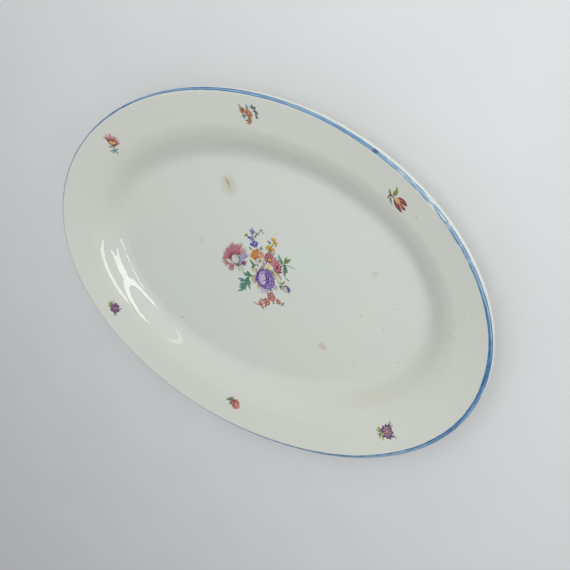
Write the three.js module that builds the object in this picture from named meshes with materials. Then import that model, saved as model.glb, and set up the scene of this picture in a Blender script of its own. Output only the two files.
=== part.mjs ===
import * as THREE from 'three';

// Oval serving dish, in millimetres, +Z up, standing on its foot ring with its long axis along X.
// One fired body carries a painted line round the rim, a flower print in the well and six small
// flower prints on the rim. The origin is the middle of the plane that the foot ring rests on.

const { degToRad } = THREE.MathUtils;

// Plan of the dish at its rim edge
const dishLength = 350;
const dishWidth = 256;

// Section of the body, from the rim edge inwards. The rim edge is a full round of the thickness.
const bodyThickness = 4.8;
const rimBreadth = 22;
const rimDrop = 5.3;
const rimSlope = degToRad(16); // at both edges of the rim
const shoulderRun = 8;
const shoulderDrop = 3.7;
const shoulderSlope = degToRad(30); // where the shoulder has turned down into the wall
const wallRun = 20;
const wallDrop = 12;
const wallTopEase = 0.4; // share of its run over which the wall still follows the shoulder
const wallToeEase = 0.45; // share of its run over which it flattens out to the floor
const endLift = 4.5; // the ends of the rim stand this much higher than its long sides

// Base and foot ring, which stands under the toe of the well's wall
const baseThickness = 5.5;
const footHeight = 3.5;
const footWidth = 4.5;
const footSetOut = 6;
const footDraft = 0.9;
const footChamfer = 0.8;

// Painted rim line and prints, fired on to the glaze
const lineSetIn = 1.3; // measured round the edge, from its outermost point to the line
const lineWidth = 2.3; // measured round the edge
const paintThickness = 0.25;
const paintClearance = 0.12;

// Fineness of the faceted surfaces
const stepsAround = 96;
const lipSteps = 4;
const rimSteps = 3;
const shoulderSteps = 3;
const wallSteps = 8;
const undersideRimSteps = 2;
const undersideShoulderSteps = 2;
const undersideWallSteps = 6;
const lineSteps = 3;

// How far the prints reach from their middles, and where the middle of the one in the well lies
const bouquetReach = 36;
const bouquetAlong = 8;
const bouquetAcross = 4;
const sprigReach = 8.5;

// Flower print in the well, with its petals and leaves as rounded lobes. Each lobe has a direction,
// its share of the print's reach, and how narrow it is.
const bouquetOutline = {
  reach: bouquetReach,
  core: 0.47,
  steps: 72,
  rings: 1,
  lobes: [
    { towards: 10, share: 0.78, narrow: 30 },
    { towards: 47, share: 0.75, narrow: 14 },
    { towards: 96, share: 0.83, narrow: 16 },
    { towards: 134, share: 0.67, narrow: 18 },
    { towards: 176, share: 1, narrow: 9 },
    { towards: 222, share: 0.94, narrow: 14 },
    { towards: 271, share: 0.83, narrow: 10 },
    { towards: 318, share: 0.72, narrow: 16 },
  ],
};

// Small flower on the rim: a bloom of three petals with a pair of leaves behind it
const sprigOutline = {
  reach: sprigReach,
  core: 0.35,
  steps: 30,
  rings: 2,
  lobes: [
    { towards: -38, share: 0.88, narrow: 8 },
    { towards: 0, share: 1, narrow: 8 },
    { towards: 38, share: 0.88, narrow: 8 },
    { towards: 140, share: 0.88, narrow: 10 },
    { towards: 215, share: 0.82, narrow: 10 },
  ],
};

// Each rim print's place: its angle round the dish, its share of the way across the rim from the
// edge, and the direction that its bloom points in
const rimPrints = [
  { name: 'tulip_print', around: 42, across: 0.79, facing: -42, colour: 0xb83a34 },
  { name: 'orange_spray_print', around: 81.6, across: 0.66, facing: 102, colour: 0xc8663c },
  { name: 'aster_print', around: 130.3, across: 0.75, facing: 83, colour: 0xb4455a },
  { name: 'violet_print', around: 208, across: 0.76, facing: -43, colour: 0x74447c },
  { name: 'rose_print', around: 262.4, across: 0.83, facing: -14, colour: 0xbb4a3e },
  { name: 'daisy_print', around: 314.6, across: 0.76, facing: 4, colour: 0x7d4a86 },
];

// Heights and insets that follow from the sizes above
const lipRadius = bodyThickness / 2;
const wallInset = rimBreadth + shoulderRun;
const floorInset = wallInset + wallRun;
const floorHeight = footHeight + baseThickness;
const wallTopHeight = floorHeight + wallDrop;
const shoulderHeight = wallTopHeight + shoulderDrop;
const crownHeight = shoulderHeight + rimDrop;
const footInset = floorInset - footSetOut;

// Points of the section have the distance in from the rim edge as x and the height as y
const sectionPoint = (inset, height) => new THREE.Vector2(inset, height);
const heading = (slope) => sectionPoint(Math.cos(slope), -Math.sin(slope));

// A stretch of the section that leaves and arrives at the given downward slopes, and keeps to each of
// them over a share of its run
const evenEase = 1 / 3;

function slopedCurve(start, startSlope, end, endSlope, startEase = evenEase, endEase = evenEase) {
  const run = end.x - start.x;
  const leaving = start.clone().addScaledVector(heading(startSlope), run * startEase);
  const arriving = end.clone().addScaledVector(heading(endSlope), -run * endEase);
  return new THREE.CubicBezierCurve(start, leaving, arriving, end);
}

function lipPoint(turn, radius = lipRadius) {
  const middle = sectionPoint(lipRadius, crownHeight - lipRadius);
  return middle.add(sectionPoint(Math.cos(turn), Math.sin(turn)).multiplyScalar(radius));
}

function lipArc(fromTurn, toTurn) {
  const points = [];
  for (let step = 0; step <= lipSteps; step += 1) {
    points.push(lipPoint(fromTurn + ((toTurn - fromTurn) * step) / lipSteps));
  }
  return points;
}

const lipOutermost = Math.PI;
const lipMeetsRim = Math.PI / 2 - rimSlope;
const lipMeetsUnderside = lipMeetsRim + Math.PI;

const shoulder = sectionPoint(rimBreadth, shoulderHeight);
const wallTop = sectionPoint(wallInset, wallTopHeight);
const floorEdge = sectionPoint(floorInset, floorHeight);
const rimCurve = slopedCurve(lipPoint(lipMeetsRim), rimSlope, shoulder, rimSlope);
const shoulderCurve = slopedCurve(shoulder, rimSlope, wallTop, shoulderSlope);
const wallCurve = slopedCurve(wallTop, shoulderSlope, floorEdge, 0, wallTopEase, wallToeEase);

// Upper face of the body, from the outermost point of the lip to the edge of the flat floor
const upperFace = [
  ...lipArc(lipOutermost, lipMeetsRim),
  ...rimCurve.getPoints(rimSteps).slice(1),
  ...shoulderCurve.getPoints(shoulderSteps).slice(1),
  ...wallCurve.getPoints(wallSteps).slice(1),
];

// Underside of a curve of the upper face, one body thickness away from it
function undersideOf(curve, steps) {
  const points = [];
  for (let step = 1; step <= steps; step += 1) {
    const along = curve.getTangent(step / steps);
    const normal = sectionPoint(-along.y, along.x);
    points.push(curve.getPoint(step / steps).addScaledVector(normal, -bodyThickness));
  }
  return points;
}

function lowerFace() {
  const outsideFoot = (point) => point.x < footInset - footDraft;
  const belowRim = undersideOf(rimCurve, undersideRimSteps);
  const belowShoulder = undersideOf(shoulderCurve, undersideShoulderSteps);
  const belowWall = undersideOf(wallCurve, undersideWallSteps);
  return [
    ...lipArc(lipOutermost, lipMeetsUnderside).slice(1),
    ...belowRim,
    ...belowShoulder,
    ...belowWall.filter(outsideFoot),
    sectionPoint(footInset, footChamfer),
    sectionPoint(footInset + footChamfer, 0),
    sectionPoint(footInset + footWidth - footChamfer, 0),
    sectionPoint(footInset + footWidth, footChamfer),
    sectionPoint(footInset + footWidth, footHeight),
  ];
}

// Rise of the dish towards its ends, which fades out from the rim edge to the flat floor
function riseAt(inset, angle) {
  const share = Math.max(0, 1 - inset / floorInset);
  return endLift * Math.cos(angle) ** 2 * share ** 2;
}

function dishPoint(inset, height, angle) {
  const x = (dishLength / 2 - inset) * Math.cos(angle);
  const y = (dishWidth / 2 - inset) * Math.sin(angle);
  const aboveFoot = Math.min(1, height / floorHeight); // the foot ring itself stays flat
  return [x, y, height + riseAt(inset, angle) * aboveFoot];
}

// Height of the faceted upper face at a distance in from the rim edge
function faceHeight(inset) {
  const next = upperFace.findIndex((point) => point.x >= inset);
  if (next < 0) return floorHeight;
  if (next === 0) return upperFace[0].y;
  const before = upperFace[next - 1];
  const after = upperFace[next];
  const share = (inset - before.x) / (after.x - before.x);
  return before.y + (after.y - before.y) * share;
}

// Distance in from the rim edge of a point in plan, found by halving the span that holds it
function insetAt(x, y) {
  let outer = 0;
  let inner = floorInset;
  const halvings = 40;
  for (let halving = 0; halving < halvings; halving += 1) {
    const middle = (outer + inner) / 2;
    const within = Math.hypot(x / (dishLength / 2 - middle), y / (dishWidth / 2 - middle)) < 1;
    if (within) outer = middle;
    else inner = middle;
  }
  return inner;
}

function surfaceHeight(x, y) {
  const inset = insetAt(x, y);
  const angle = Math.atan2(y / (dishWidth / 2 - inset), x / (dishLength / 2 - inset));
  return faceHeight(inset) + riseAt(inset, angle);
}

function solidGeometry(positions, faces) {
  const geometry = new THREE.BufferGeometry();
  geometry.setAttribute('position', new THREE.Float32BufferAttribute(positions, 3));
  geometry.setIndex(faces);
  geometry.computeVertexNormals();
  return geometry;
}

// Two triangles for each step between one ring of points and the next
function joinRings(faces, ringStart, nextStart, count) {
  for (let step = 0; step < count; step += 1) {
    const after = (step + 1) % count;
    faces.push(ringStart + step, nextStart + step, ringStart + after);
    faces.push(ringStart + after, nextStart + step, nextStart + after);
  }
}

function ringPositions(section) {
  const positions = [];
  for (const point of section) {
    for (let step = 0; step < stepsAround; step += 1) {
      positions.push(...dishPoint(point.x, point.y, (step / stepsAround) * 2 * Math.PI));
    }
  }
  return positions;
}

// The body: its section carried round the oval, closed by the flat floor and the flat base
function bodyGeometry() {
  const section = [...upperFace.slice().reverse(), ...lowerFace()];
  const positions = ringPositions(section);
  const faces = [];
  for (let ring = 0; ring + 1 < section.length; ring += 1) {
    joinRings(faces, ring * stepsAround, (ring + 1) * stepsAround, stepsAround);
  }
  const floorMiddle = positions.length / 3;
  positions.push(0, 0, floorHeight);
  const baseMiddle = floorMiddle + 1;
  positions.push(0, 0, footHeight);
  const lastRing = (section.length - 1) * stepsAround;
  for (let step = 0; step < stepsAround; step += 1) {
    const after = (step + 1) % stepsAround;
    faces.push(floorMiddle, step, after);
    faces.push(baseMiddle, lastRing + after, lastRing + step);
  }
  return solidGeometry(positions, faces);
}

// The rim line: a thin band of enamel round the outer shoulder of the rim edge
function rimLineGeometry() {
  const under = [];
  const over = [];
  const seat = lipRadius + paintClearance;
  for (let step = 0; step <= lineSteps; step += 1) {
    const roundTheEdge = lineSetIn + (lineWidth * step) / lineSteps;
    const turn = lipOutermost - roundTheEdge / lipRadius;
    under.push(lipPoint(turn, seat));
    over.push(lipPoint(turn, seat + paintThickness));
  }
  const section = [...over.reverse(), ...under];
  const faces = [];
  section.forEach((point, ring) => {
    const next = (ring + 1) % section.length;
    joinRings(faces, ring * stepsAround, next * stepsAround, stepsAround);
  });
  return solidGeometry(ringPositions(section), faces);
}

// How far a print's outline lies from its middle in one direction
function outlineReach(direction, { reach, core, lobes }) {
  const shares = lobes.map((lobe) => {
    const facing = Math.max(0, Math.cos(direction - degToRad(lobe.towards)));
    return lobe.share * facing ** lobe.narrow;
  });
  return reach * Math.max(core, ...shares);
}

// A print: a thin lobed patch of colour that follows the upper face of the dish
function printGeometry(middle, facing, outline) {
  const { steps, rings } = outline;
  const positions = [];
  const faces = [];
  const addPoint = (x, y, lift) => {
    positions.push(x, y, surfaceHeight(x, y) + paintClearance + lift);
  };
  for (const lift of [paintThickness, 0]) {
    addPoint(middle.x, middle.y, lift);
    for (let ring = 1; ring <= rings; ring += 1) {
      for (let step = 0; step < steps; step += 1) {
        const direction = (step / steps) * 2 * Math.PI;
        const reach = (outlineReach(direction, outline) * ring) / rings;
        const x = middle.x + reach * Math.cos(direction + facing);
        const y = middle.y + reach * Math.sin(direction + facing);
        addPoint(x, y, lift);
      }
    }
  }
  const layer = 1 + rings * steps;
  for (let step = 0; step < steps; step += 1) {
    const after = (step + 1) % steps;
    faces.push(0, 1 + step, 1 + after);
    faces.push(layer, layer + 1 + after, layer + 1 + step);
  }
  for (let ring = 0; ring + 1 < rings; ring += 1) {
    const inner = 1 + ring * steps;
    joinRings(faces, inner, inner + steps, steps);
    joinRings(faces, layer + inner + steps, layer + inner, steps);
  }
  const edge = layer - steps;
  joinRings(faces, edge, layer + edge, steps);
  return solidGeometry(positions, faces);
}

function rimPrintGeometry(print) {
  const angle = degToRad(print.around);
  const [x, y] = dishPoint(print.across * rimBreadth, 0, angle);
  const middle = new THREE.Vector2(x, y);
  return printGeometry(middle, degToRad(print.facing), sprigOutline);
}

const glaze = (colour) => new THREE.MeshStandardMaterial({ color: colour, roughness: 0.15, metalness: 0 });
const enamel = (colour) => new THREE.MeshStandardMaterial({ color: colour, roughness: 0.3, metalness: 0 });

function piece(name, geometry, material) {
  const mesh = new THREE.Mesh(geometry, material);
  mesh.name = name;
  return mesh;
}

const servingDish = new THREE.Group();
servingDish.name = 'oval_serving_dish';
servingDish.add(piece('dish_body', bodyGeometry(), glaze(0xe6e6dc)));
servingDish.add(piece('rim_line', rimLineGeometry(), enamel(0x4a7cb4)));
const bouquetMiddle = new THREE.Vector2(bouquetAlong, bouquetAcross);
const bouquet = printGeometry(bouquetMiddle, 0, bouquetOutline);
servingDish.add(piece('bouquet_print', bouquet, enamel(0x8c5a8f)));
for (const print of rimPrints) {
  servingDish.add(piece(print.name, rimPrintGeometry(print), enamel(print.colour)));
}

export default servingDish;
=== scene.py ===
"""Oval serving dish in cream-glazed ceramic, with a painted blue rim line and flower prints.

Sizes and places are in millimetres in the dish's own frame: +X along the dish, +Y across it and
+Z up, with the foot ring standing on Z = 0. Meshes are made in metres.
"""

import bisect
import math
import random
from collections import namedtuple

import bmesh
import bpy
from mathutils import Matrix, Vector, noise


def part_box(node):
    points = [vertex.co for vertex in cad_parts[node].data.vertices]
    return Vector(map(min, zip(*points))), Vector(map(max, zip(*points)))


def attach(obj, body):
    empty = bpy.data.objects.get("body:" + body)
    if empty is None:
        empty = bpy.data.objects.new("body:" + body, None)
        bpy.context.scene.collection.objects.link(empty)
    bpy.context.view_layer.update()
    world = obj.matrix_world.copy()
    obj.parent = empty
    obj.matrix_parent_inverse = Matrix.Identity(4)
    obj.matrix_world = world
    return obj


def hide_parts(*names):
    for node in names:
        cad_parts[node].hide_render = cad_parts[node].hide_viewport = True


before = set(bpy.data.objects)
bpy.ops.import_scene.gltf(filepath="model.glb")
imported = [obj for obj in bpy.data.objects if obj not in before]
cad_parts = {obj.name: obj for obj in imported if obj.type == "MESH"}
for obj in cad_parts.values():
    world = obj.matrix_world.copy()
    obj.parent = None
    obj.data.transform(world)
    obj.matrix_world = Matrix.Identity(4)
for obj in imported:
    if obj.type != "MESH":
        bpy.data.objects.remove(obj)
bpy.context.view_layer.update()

MM = 0.001

# Plan of the dish at its rim edge
HALF_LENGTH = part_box("dish_body")[1].x / MM
HALF_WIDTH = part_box("dish_body")[1].y / MM

# Section of the body, from the rim edge inwards
BODY_THICKNESS = 4.8
RIM_BREADTH = 22.0
RIM_DROP = 5.3
RIM_SLOPE = math.radians(16)  # at both edges of the rim
SHOULDER_RUN = 8.0
SHOULDER_DROP = 3.7
SHOULDER_SLOPE = math.radians(30)  # where the shoulder has turned down into the wall
WALL_RUN = 20.0
WALL_DROP = 12.0
WALL_TOP_EASE = 0.4  # how soon the wall steepens below the shoulder, and how gently it meets the floor
WALL_TOE_EASE = 0.45
EVEN_EASE = 1 / 3
END_LIFT = 4.5  # the ends of the rim stand this much higher than its long sides
BASE_THICKNESS = 5.5
FOOT_HEIGHT = 3.5
FOOT_WIDTH = 4.5
FOOT_SET_OUT = 6.0
FOOT_DRAFT = 0.9
FOOT_ROUNDING = 1.1

LIP_RADIUS = BODY_THICKNESS / 2
WALL_INSET = RIM_BREADTH + SHOULDER_RUN
FLOOR_INSET = WALL_INSET + WALL_RUN
FLOOR_HEIGHT = FOOT_HEIGHT + BASE_THICKNESS
WALL_TOP_HEIGHT = FLOOR_HEIGHT + WALL_DROP
SHOULDER_HEIGHT = WALL_TOP_HEIGHT + SHOULDER_DROP
CROWN_HEIGHT = SHOULDER_HEIGHT + RIM_DROP
FOOT_INSET = FLOOR_INSET - FOOT_SET_OUT

# The fired clay wanders this far out of true, over this span
UNEVEN_DEPTH = 0.22
UNEVEN_SPAN = 75.0

# Fineness of the body and the rim line
STEPS_AROUND = 288
LIP_STEPS = 10
RIM_STEPS = 20
SHOULDER_STEPS = 10
WALL_STEPS = 32
ROUNDING_STEPS = 4
FLOOR_RINGS = 16
HALVINGS = 30
LINE_STEPS_AROUND = 900
LINE_COLUMNS = 6

# Rim line, measured round the rim edge from its outermost point, and how far its hand-banded edges wander
LINE_SET_IN = 1.5
LINE_WIDTH = 2.25
LINE_WANDER = 0.25
LINE_DRIFT = 0.3  # how much further in it lies at one end than at its middle
LINE_FURTHEST_IN = math.radians(-20)
LINE_SWELL = 0.2  # the share by which it is broader where the brush was fullest
LINE_FULLEST = math.radians(-60)
LINE_SLIP = 1.2  # how far it slips over the edge at the other end
LINE_SLIPS_AT = math.radians(230)
LINE_SHARP_ANGLE = math.radians(50)
WAVER_ELSEWHERE = Vector((9, 0, 0))  # so that its two edges waver apart

# Enamel: a thin film, each stroke of a print lying just above the one before it
FILM_GAP = 0.01
FILM_THICKNESS = 0.035
STROKE_STEP = 0.001
STROKE_ROWS = 9
STROKE_COLUMNS = 4
STROKE_SHARP_ANGLE = math.radians(40)
EDGE_DEPTH = 0.75  # how fully a stroke takes its edge colour along its sides

# How far the hand strays: bends and reaches as shares of a stroke, turns in degrees
BEND_STRAY = 0.06
PETAL_BEND_STRAY = 0.05
LEAF_BEND_STRAY = 0.1
TINT_STRAY = 0.1
PETAL_TURN_STRAY = 4
PETAL_TIP_STRAY = 3
PETAL_REACH_STRAY = 0.08
SPIKE_PLACE_STRAY = 0.3
SPIKE_REACH_STRAY = 0.12

BOUQUET_MIDDLE = Vector((8.0, 4.0))


def section_point(inset, height):
    return Vector((inset, height))


def heading(slope):
    return section_point(math.cos(slope), -math.sin(slope))


def sloped_curve(start, start_slope, end, end_slope, steps, start_ease=EVEN_EASE, end_ease=EVEN_EASE):
    """A smooth stretch of the section that leaves and arrives at the given downward slopes."""
    run = end.x - start.x
    leaving = start + run * start_ease * heading(start_slope)
    arriving = end - run * end_ease * heading(end_slope)
    points = []
    for step in range(steps + 1):
        t = step / steps
        u = 1 - t
        points.append(u**3 * start + 3 * u * u * t * leaving + 3 * u * t * t * arriving + t**3 * end)
    return points


def lip_point(turn, radius=LIP_RADIUS):
    middle = section_point(LIP_RADIUS, CROWN_HEIGHT - LIP_RADIUS)
    return middle + radius * section_point(math.cos(turn), math.sin(turn))


def lip_arc(from_turn, to_turn):
    sweep = to_turn - from_turn
    return [lip_point(from_turn + sweep * step / LIP_STEPS) for step in range(LIP_STEPS + 1)]


def rounded(before, corner, after):
    """A corner of the section, rounded by a short curve."""
    start = corner + (before - corner).normalized() * FOOT_ROUNDING
    end = corner + (after - corner).normalized() * FOOT_ROUNDING
    points = []
    for step in range(ROUNDING_STEPS + 1):
        t = step / ROUNDING_STEPS
        points.append((1 - t) ** 2 * start + 2 * t * (1 - t) * corner + t * t * end)
    return points


FLAT = 0.0
LIP_OUTERMOST = math.pi
LIP_MEETS_RIM = math.pi / 2 - RIM_SLOPE

shoulder = section_point(RIM_BREADTH, SHOULDER_HEIGHT)
wall_top = section_point(WALL_INSET, WALL_TOP_HEIGHT)
floor_edge = section_point(FLOOR_INSET, FLOOR_HEIGHT)
rim_curve = sloped_curve(lip_point(LIP_MEETS_RIM), RIM_SLOPE, shoulder, RIM_SLOPE, RIM_STEPS)
shoulder_curve = sloped_curve(shoulder, RIM_SLOPE, wall_top, SHOULDER_SLOPE, SHOULDER_STEPS)
wall_curve = sloped_curve(wall_top, SHOULDER_SLOPE, floor_edge, FLAT, WALL_STEPS,
                          WALL_TOP_EASE, WALL_TOE_EASE)
spine = rim_curve + shoulder_curve[1:] + wall_curve[1:]

# Upper face, from the outermost point of the lip to the edge of the flat floor
UPPER_FACE = lip_arc(LIP_OUTERMOST, LIP_MEETS_RIM) + spine[1:]
UPPER_INSETS = [point.x for point in UPPER_FACE]


def lower_face():
    """Section of the underside, from below the lip to the inner edge of the foot ring."""
    underside = []
    for before, point, after in zip(spine, spine[1:], spine[2:]):
        along = (after - before).normalized()
        below = point + BODY_THICKNESS * section_point(along.y, -along.x)
        if below.x < FOOT_INSET - FOOT_DRAFT:
            underside.append(below)
    foot_outside = section_point(FOOT_INSET, 0)
    foot_inside = section_point(FOOT_INSET + FOOT_WIDTH, 0)
    base_edge = section_point(FOOT_INSET + FOOT_WIDTH, FOOT_HEIGHT)
    base_flat = section_point(FOOT_INSET + 2 * FOOT_WIDTH, FOOT_HEIGHT)
    foot = rounded(underside[-1], foot_outside, foot_inside)
    foot += rounded(foot_outside, foot_inside, base_edge)
    foot += rounded(foot_inside, base_edge, base_flat)
    return lip_arc(LIP_OUTERMOST, LIP_MEETS_RIM + math.pi)[1:] + underside + foot


def end_rise(inset, angle):
    share = max(0.0, 1 - inset / FLOOR_INSET)
    return END_LIFT * math.cos(angle) ** 2 * share**2


def unevenness(x, y):
    return UNEVEN_DEPTH * noise.noise(Vector((x, y, 0)) / UNEVEN_SPAN)


def body_point(inset, height, angle):
    x = (HALF_LENGTH - inset) * math.cos(angle)
    y = (HALF_WIDTH - inset) * math.sin(angle)
    above_foot = min(1.0, height / FLOOR_HEIGHT)
    return Vector((x, y, height + (end_rise(inset, angle) + unevenness(x, y)) * above_foot))


def face_height(inset):
    """Height of the upper face at a distance in from the rim edge, before the ends' rise."""
    if inset >= FLOOR_INSET:
        return FLOOR_HEIGHT
    after = max(1, bisect.bisect_left(UPPER_INSETS, inset))
    outer, inner = UPPER_FACE[after - 1], UPPER_FACE[after]
    return outer.y + (inner.y - outer.y) * (inset - outer.x) / (inner.x - outer.x)


def inset_at(x, y):
    """Distance in from the rim edge of a point in plan, found by halving the span that holds it."""
    outer, inner = 0.0, FLOOR_INSET
    for halving in range(HALVINGS):
        middle = (outer + inner) / 2
        if math.hypot(x / (HALF_LENGTH - middle), y / (HALF_WIDTH - middle)) < 1:
            outer = middle
        else:
            inner = middle
    return inner


def glaze_height(x, y):
    inset = inset_at(x, y)
    angle = math.atan2(y / (HALF_WIDTH - inset), x / (HALF_LENGTH - inset))
    return face_height(inset) + end_rise(inset, angle) + unevenness(x, y)


def smooth_step(t):
    return t * t * (3 - 2 * t)


def mesh_piece(name, points, faces, sharp_angle=None):
    """A new object from points in millimetres, with its faces turned outwards and shaded smooth."""
    mesh = bpy.data.meshes.new(name)
    mesh.from_pydata([point * MM for point in points], [], faces)
    shell = bmesh.new()
    shell.from_mesh(mesh)
    bmesh.ops.recalc_face_normals(shell, faces=shell.faces)
    for face in shell.faces:
        face.smooth = True
    shell.to_mesh(mesh)
    shell.free()
    if sharp_angle is not None:
        mesh.set_sharp_from_angle(angle=sharp_angle)
    piece = bpy.data.objects.new(name, mesh)
    bpy.context.scene.collection.objects.link(piece)
    return piece


def join_rings(faces, first, second, count):
    for step in range(count):
        after = (step + 1) % count
        faces.append((first + step, second + step, second + after, first + after))


def stand_in(piece, node, material):
    """The finished piece rides on the dish in place of its plain solid."""
    piece.data.materials.append(material)
    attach(piece, "root")
    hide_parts(node)


def make_body():
    """The fired body: floor, wall, rim, lip, underside, foot ring and base in one closed skin."""
    angles = [2 * math.pi * step / STEPS_AROUND for step in range(STEPS_AROUND)]
    section = UPPER_FACE[::-1] + lower_face()
    rings = [[body_point(point.x, point.y, angle) for angle in angles] for point in section]

    def flat_rings(edge, height):
        made = []
        for number in range(1, FLOOR_RINGS):
            share = 1 - number / FLOOR_RINGS
            ring = []
            for point in edge:
                x, y = point.x * share, point.y * share
                ring.append(Vector((x, y, height + unevenness(x, y) * height / FLOOR_HEIGHT)))
            made.append(ring)
        return made

    floor = flat_rings(rings[0], FLOOR_HEIGHT)
    base = flat_rings(rings[-1], FOOT_HEIGHT)
    rings = floor[::-1] + rings + base
    points = [point for ring in rings for point in ring]
    faces = []
    for number in range(len(rings) - 1):
        join_rings(faces, number * STEPS_AROUND, (number + 1) * STEPS_AROUND, STEPS_AROUND)
    floor_middle, base_middle = len(points), len(points) + 1
    points.append(Vector((0, 0, FLOOR_HEIGHT + unevenness(0, 0))))
    points.append(Vector((0, 0, FOOT_HEIGHT + unevenness(0, 0) * FOOT_HEIGHT / FLOOR_HEIGHT)))
    last = (len(rings) - 1) * STEPS_AROUND
    for step in range(STEPS_AROUND):
        after = (step + 1) % STEPS_AROUND
        faces.append((floor_middle, step, after))
        faces.append((base_middle, last + after, last + step))
    return mesh_piece("glazed_body", points, faces)


def hand_waver(place, slow, quick, tremble):
    """Unevenness of a hand-banded edge: a slow drift with a share of quicker tremble on it."""
    return LINE_WANDER * (noise.noise(place * slow) + tremble * noise.noise(place * quick))


def make_rim_line():
    """The painted line: a band of enamel round the rim edge, its width and edges never quite even."""
    points, faces, band = [], [], []
    per_step = LINE_COLUMNS + 3

    def lay(round_the_edge, lift, angle, place):
        spot = lip_point(LIP_OUTERMOST - round_the_edge / LIP_RADIUS, LIP_RADIUS + lift)
        points.append(body_point(spot.x, spot.y, angle))
        band.append(place)

    for step in range(LINE_STEPS_AROUND):
        angle = 2 * math.pi * step / LINE_STEPS_AROUND
        around = Vector((math.cos(angle), math.sin(angle), 0))
        drift = LINE_DRIFT * math.cos(angle - LINE_FURTHEST_IN)
        slip = LINE_SLIP * max(0.0, math.cos(angle - LINE_SLIPS_AT)) ** 2
        waver = hand_waver(around, slow=3.0, quick=40.0, tremble=0.3)
        outer = LINE_SET_IN + drift - slip + waver
        swell = hand_waver(around + WAVER_ELSEWHERE, slow=5.0, quick=55.0, tremble=0.4)
        inner = outer + LINE_WIDTH * (1 + LINE_SWELL * math.cos(angle - LINE_FULLEST)) + swell
        for column in range(LINE_COLUMNS + 1):
            share = column / LINE_COLUMNS
            place = around + Vector((0, 0, share))
            lay(outer + (inner - outer) * share, FILM_GAP + FILM_THICKNESS, angle, place)
        lay(inner, FILM_GAP, angle, around + Vector((0, 0, 1)))
        lay(outer, FILM_GAP, angle, around)
    for step in range(LINE_STEPS_AROUND):
        here = step * per_step
        there = (step + 1) % LINE_STEPS_AROUND * per_step
        for column in range(per_step):
            beside = (column + 1) % per_step
            faces.append((here + column, here + beside, there + beside, there + column))
    line = mesh_piece("blue_rim_line", points, faces, sharp_angle=LINE_SHARP_ANGLE)
    along = line.data.attributes.new("band", "FLOAT_VECTOR", "POINT")
    for number, place in enumerate(band):
        along.data[number].vector = place
    return line


# Colours of a stroke of enamel at its root, at its tip and along its edges
Ink = namedtuple("Ink", "root tip edge")

# Outline of a stroke: where along it is widest, and how blunt its ends are (less is blunter)
Shape = namedtuple("Shape", "widest blunt")
PETAL = Shape(0.65, 0.6)
LEAF = Shape(0.42, 0.85)
ROUND = Shape(0.5, 0.5)
SPIKE = Shape(0.4, 0.8)
STEM = Shape(0.5, 0.15)


def pigment(red, green, blue):
    """A colour given as shown on a screen, from 0 to 255, as the light that it reflects."""
    shown = [value / 255 for value in (red, green, blue)]
    return Vector([((s + 0.055) / 1.055) ** 2.4 if s > 0.04045 else s / 12.92 for s in shown])


def mixed_ink(root, tip, edge):
    return Ink(pigment(*root), pigment(*tip), pigment(*edge))


ROSE_RED = mixed_ink((154, 66, 86), (194, 122, 126), (178, 102, 112))
CRIMSON = mixed_ink((136, 40, 70), (180, 88, 108), (150, 60, 86))
DEEP_CRIMSON = mixed_ink((108, 20, 50), (160, 54, 84), (120, 28, 60))
PINK = mixed_ink((186, 106, 120), (212, 158, 162), (178, 104, 118))
PALE_PINK = mixed_ink((200, 150, 164), (214, 188, 192), (186, 140, 156))
MAGENTA = mixed_ink((124, 28, 84), (164, 70, 120), (128, 36, 90))
PALE_HEART = mixed_ink((222, 226, 216), (208, 214, 208), (162, 170, 170))
LAVENDER = mixed_ink((186, 188, 214), (154, 158, 200), (136, 136, 182))
LIME_CREAM = mixed_ink((204, 208, 174), (218, 220, 196), (168, 172, 142))
BELL_BLUE = mixed_ink((112, 110, 148), (164, 164, 188), (112, 108, 148))
DEEP_BLUE = mixed_ink((54, 54, 132), (98, 100, 172), (60, 58, 136))
SKY = mixed_ink((150, 152, 206), (182, 184, 220), (124, 124, 188))
ORANGE = mixed_ink((178, 92, 36), (216, 150, 72), (174, 98, 44))
AMBER = mixed_ink((206, 146, 64), (226, 180, 106), (192, 122, 56))
RUST = mixed_ink((140, 52, 28), (172, 82, 44), (132, 50, 30))
DUSTY_PINK = mixed_ink((172, 98, 106), (198, 144, 142), (162, 94, 102))
WARM_WHITE = mixed_ink((224, 219, 206), (220, 216, 206), (178, 164, 156))
UMBER_GREY = mixed_ink((112, 98, 92), (150, 136, 128), (114, 100, 96))
SAGE_SHADE = mixed_ink((88, 98, 92), (122, 132, 124), (98, 108, 104))
SOFT_ROSE = mixed_ink((164, 90, 98), (200, 138, 138), (184, 116, 122))
SOFT_VIOLET = mixed_ink((184, 166, 208), (162, 142, 194), (132, 108, 170))
MID_GREEN = mixed_ink((60, 114, 70), (88, 144, 102), (68, 120, 86))
PEACH = mixed_ink((210, 140, 100), (228, 184, 142), (198, 128, 94))
YELLOW = mixed_ink((190, 142, 44), (222, 188, 88), (194, 150, 58))
OCHRE = mixed_ink((200, 152, 66), (218, 178, 98), (150, 88, 48))
WHITE = mixed_ink((226, 226, 218), (220, 222, 222), (174, 174, 204))
LEMON = mixed_ink((222, 190, 98), (228, 202, 124), (214, 182, 100))
CREAM = mixed_ink((220, 200, 136), (232, 220, 176), (190, 180, 188))
PURPLE = mixed_ink((92, 64, 146), (140, 114, 182), (84, 56, 138))
DEEP_PURPLE = mixed_ink((64, 40, 116), (98, 68, 150), (68, 42, 118))
LILAC = mixed_ink((208, 196, 222), (180, 162, 208), (146, 122, 184))
PALE_LILAC = mixed_ink((214, 206, 224), (206, 196, 222), (180, 164, 208))
VIOLET = mixed_ink((112, 72, 158), (142, 104, 180), (94, 60, 142))
GREY_LILAC = mixed_ink((206, 202, 208), (190, 184, 202), (158, 150, 178))
MAUVE = mixed_ink((184, 164, 198), (208, 196, 212), (160, 134, 176))
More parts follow.
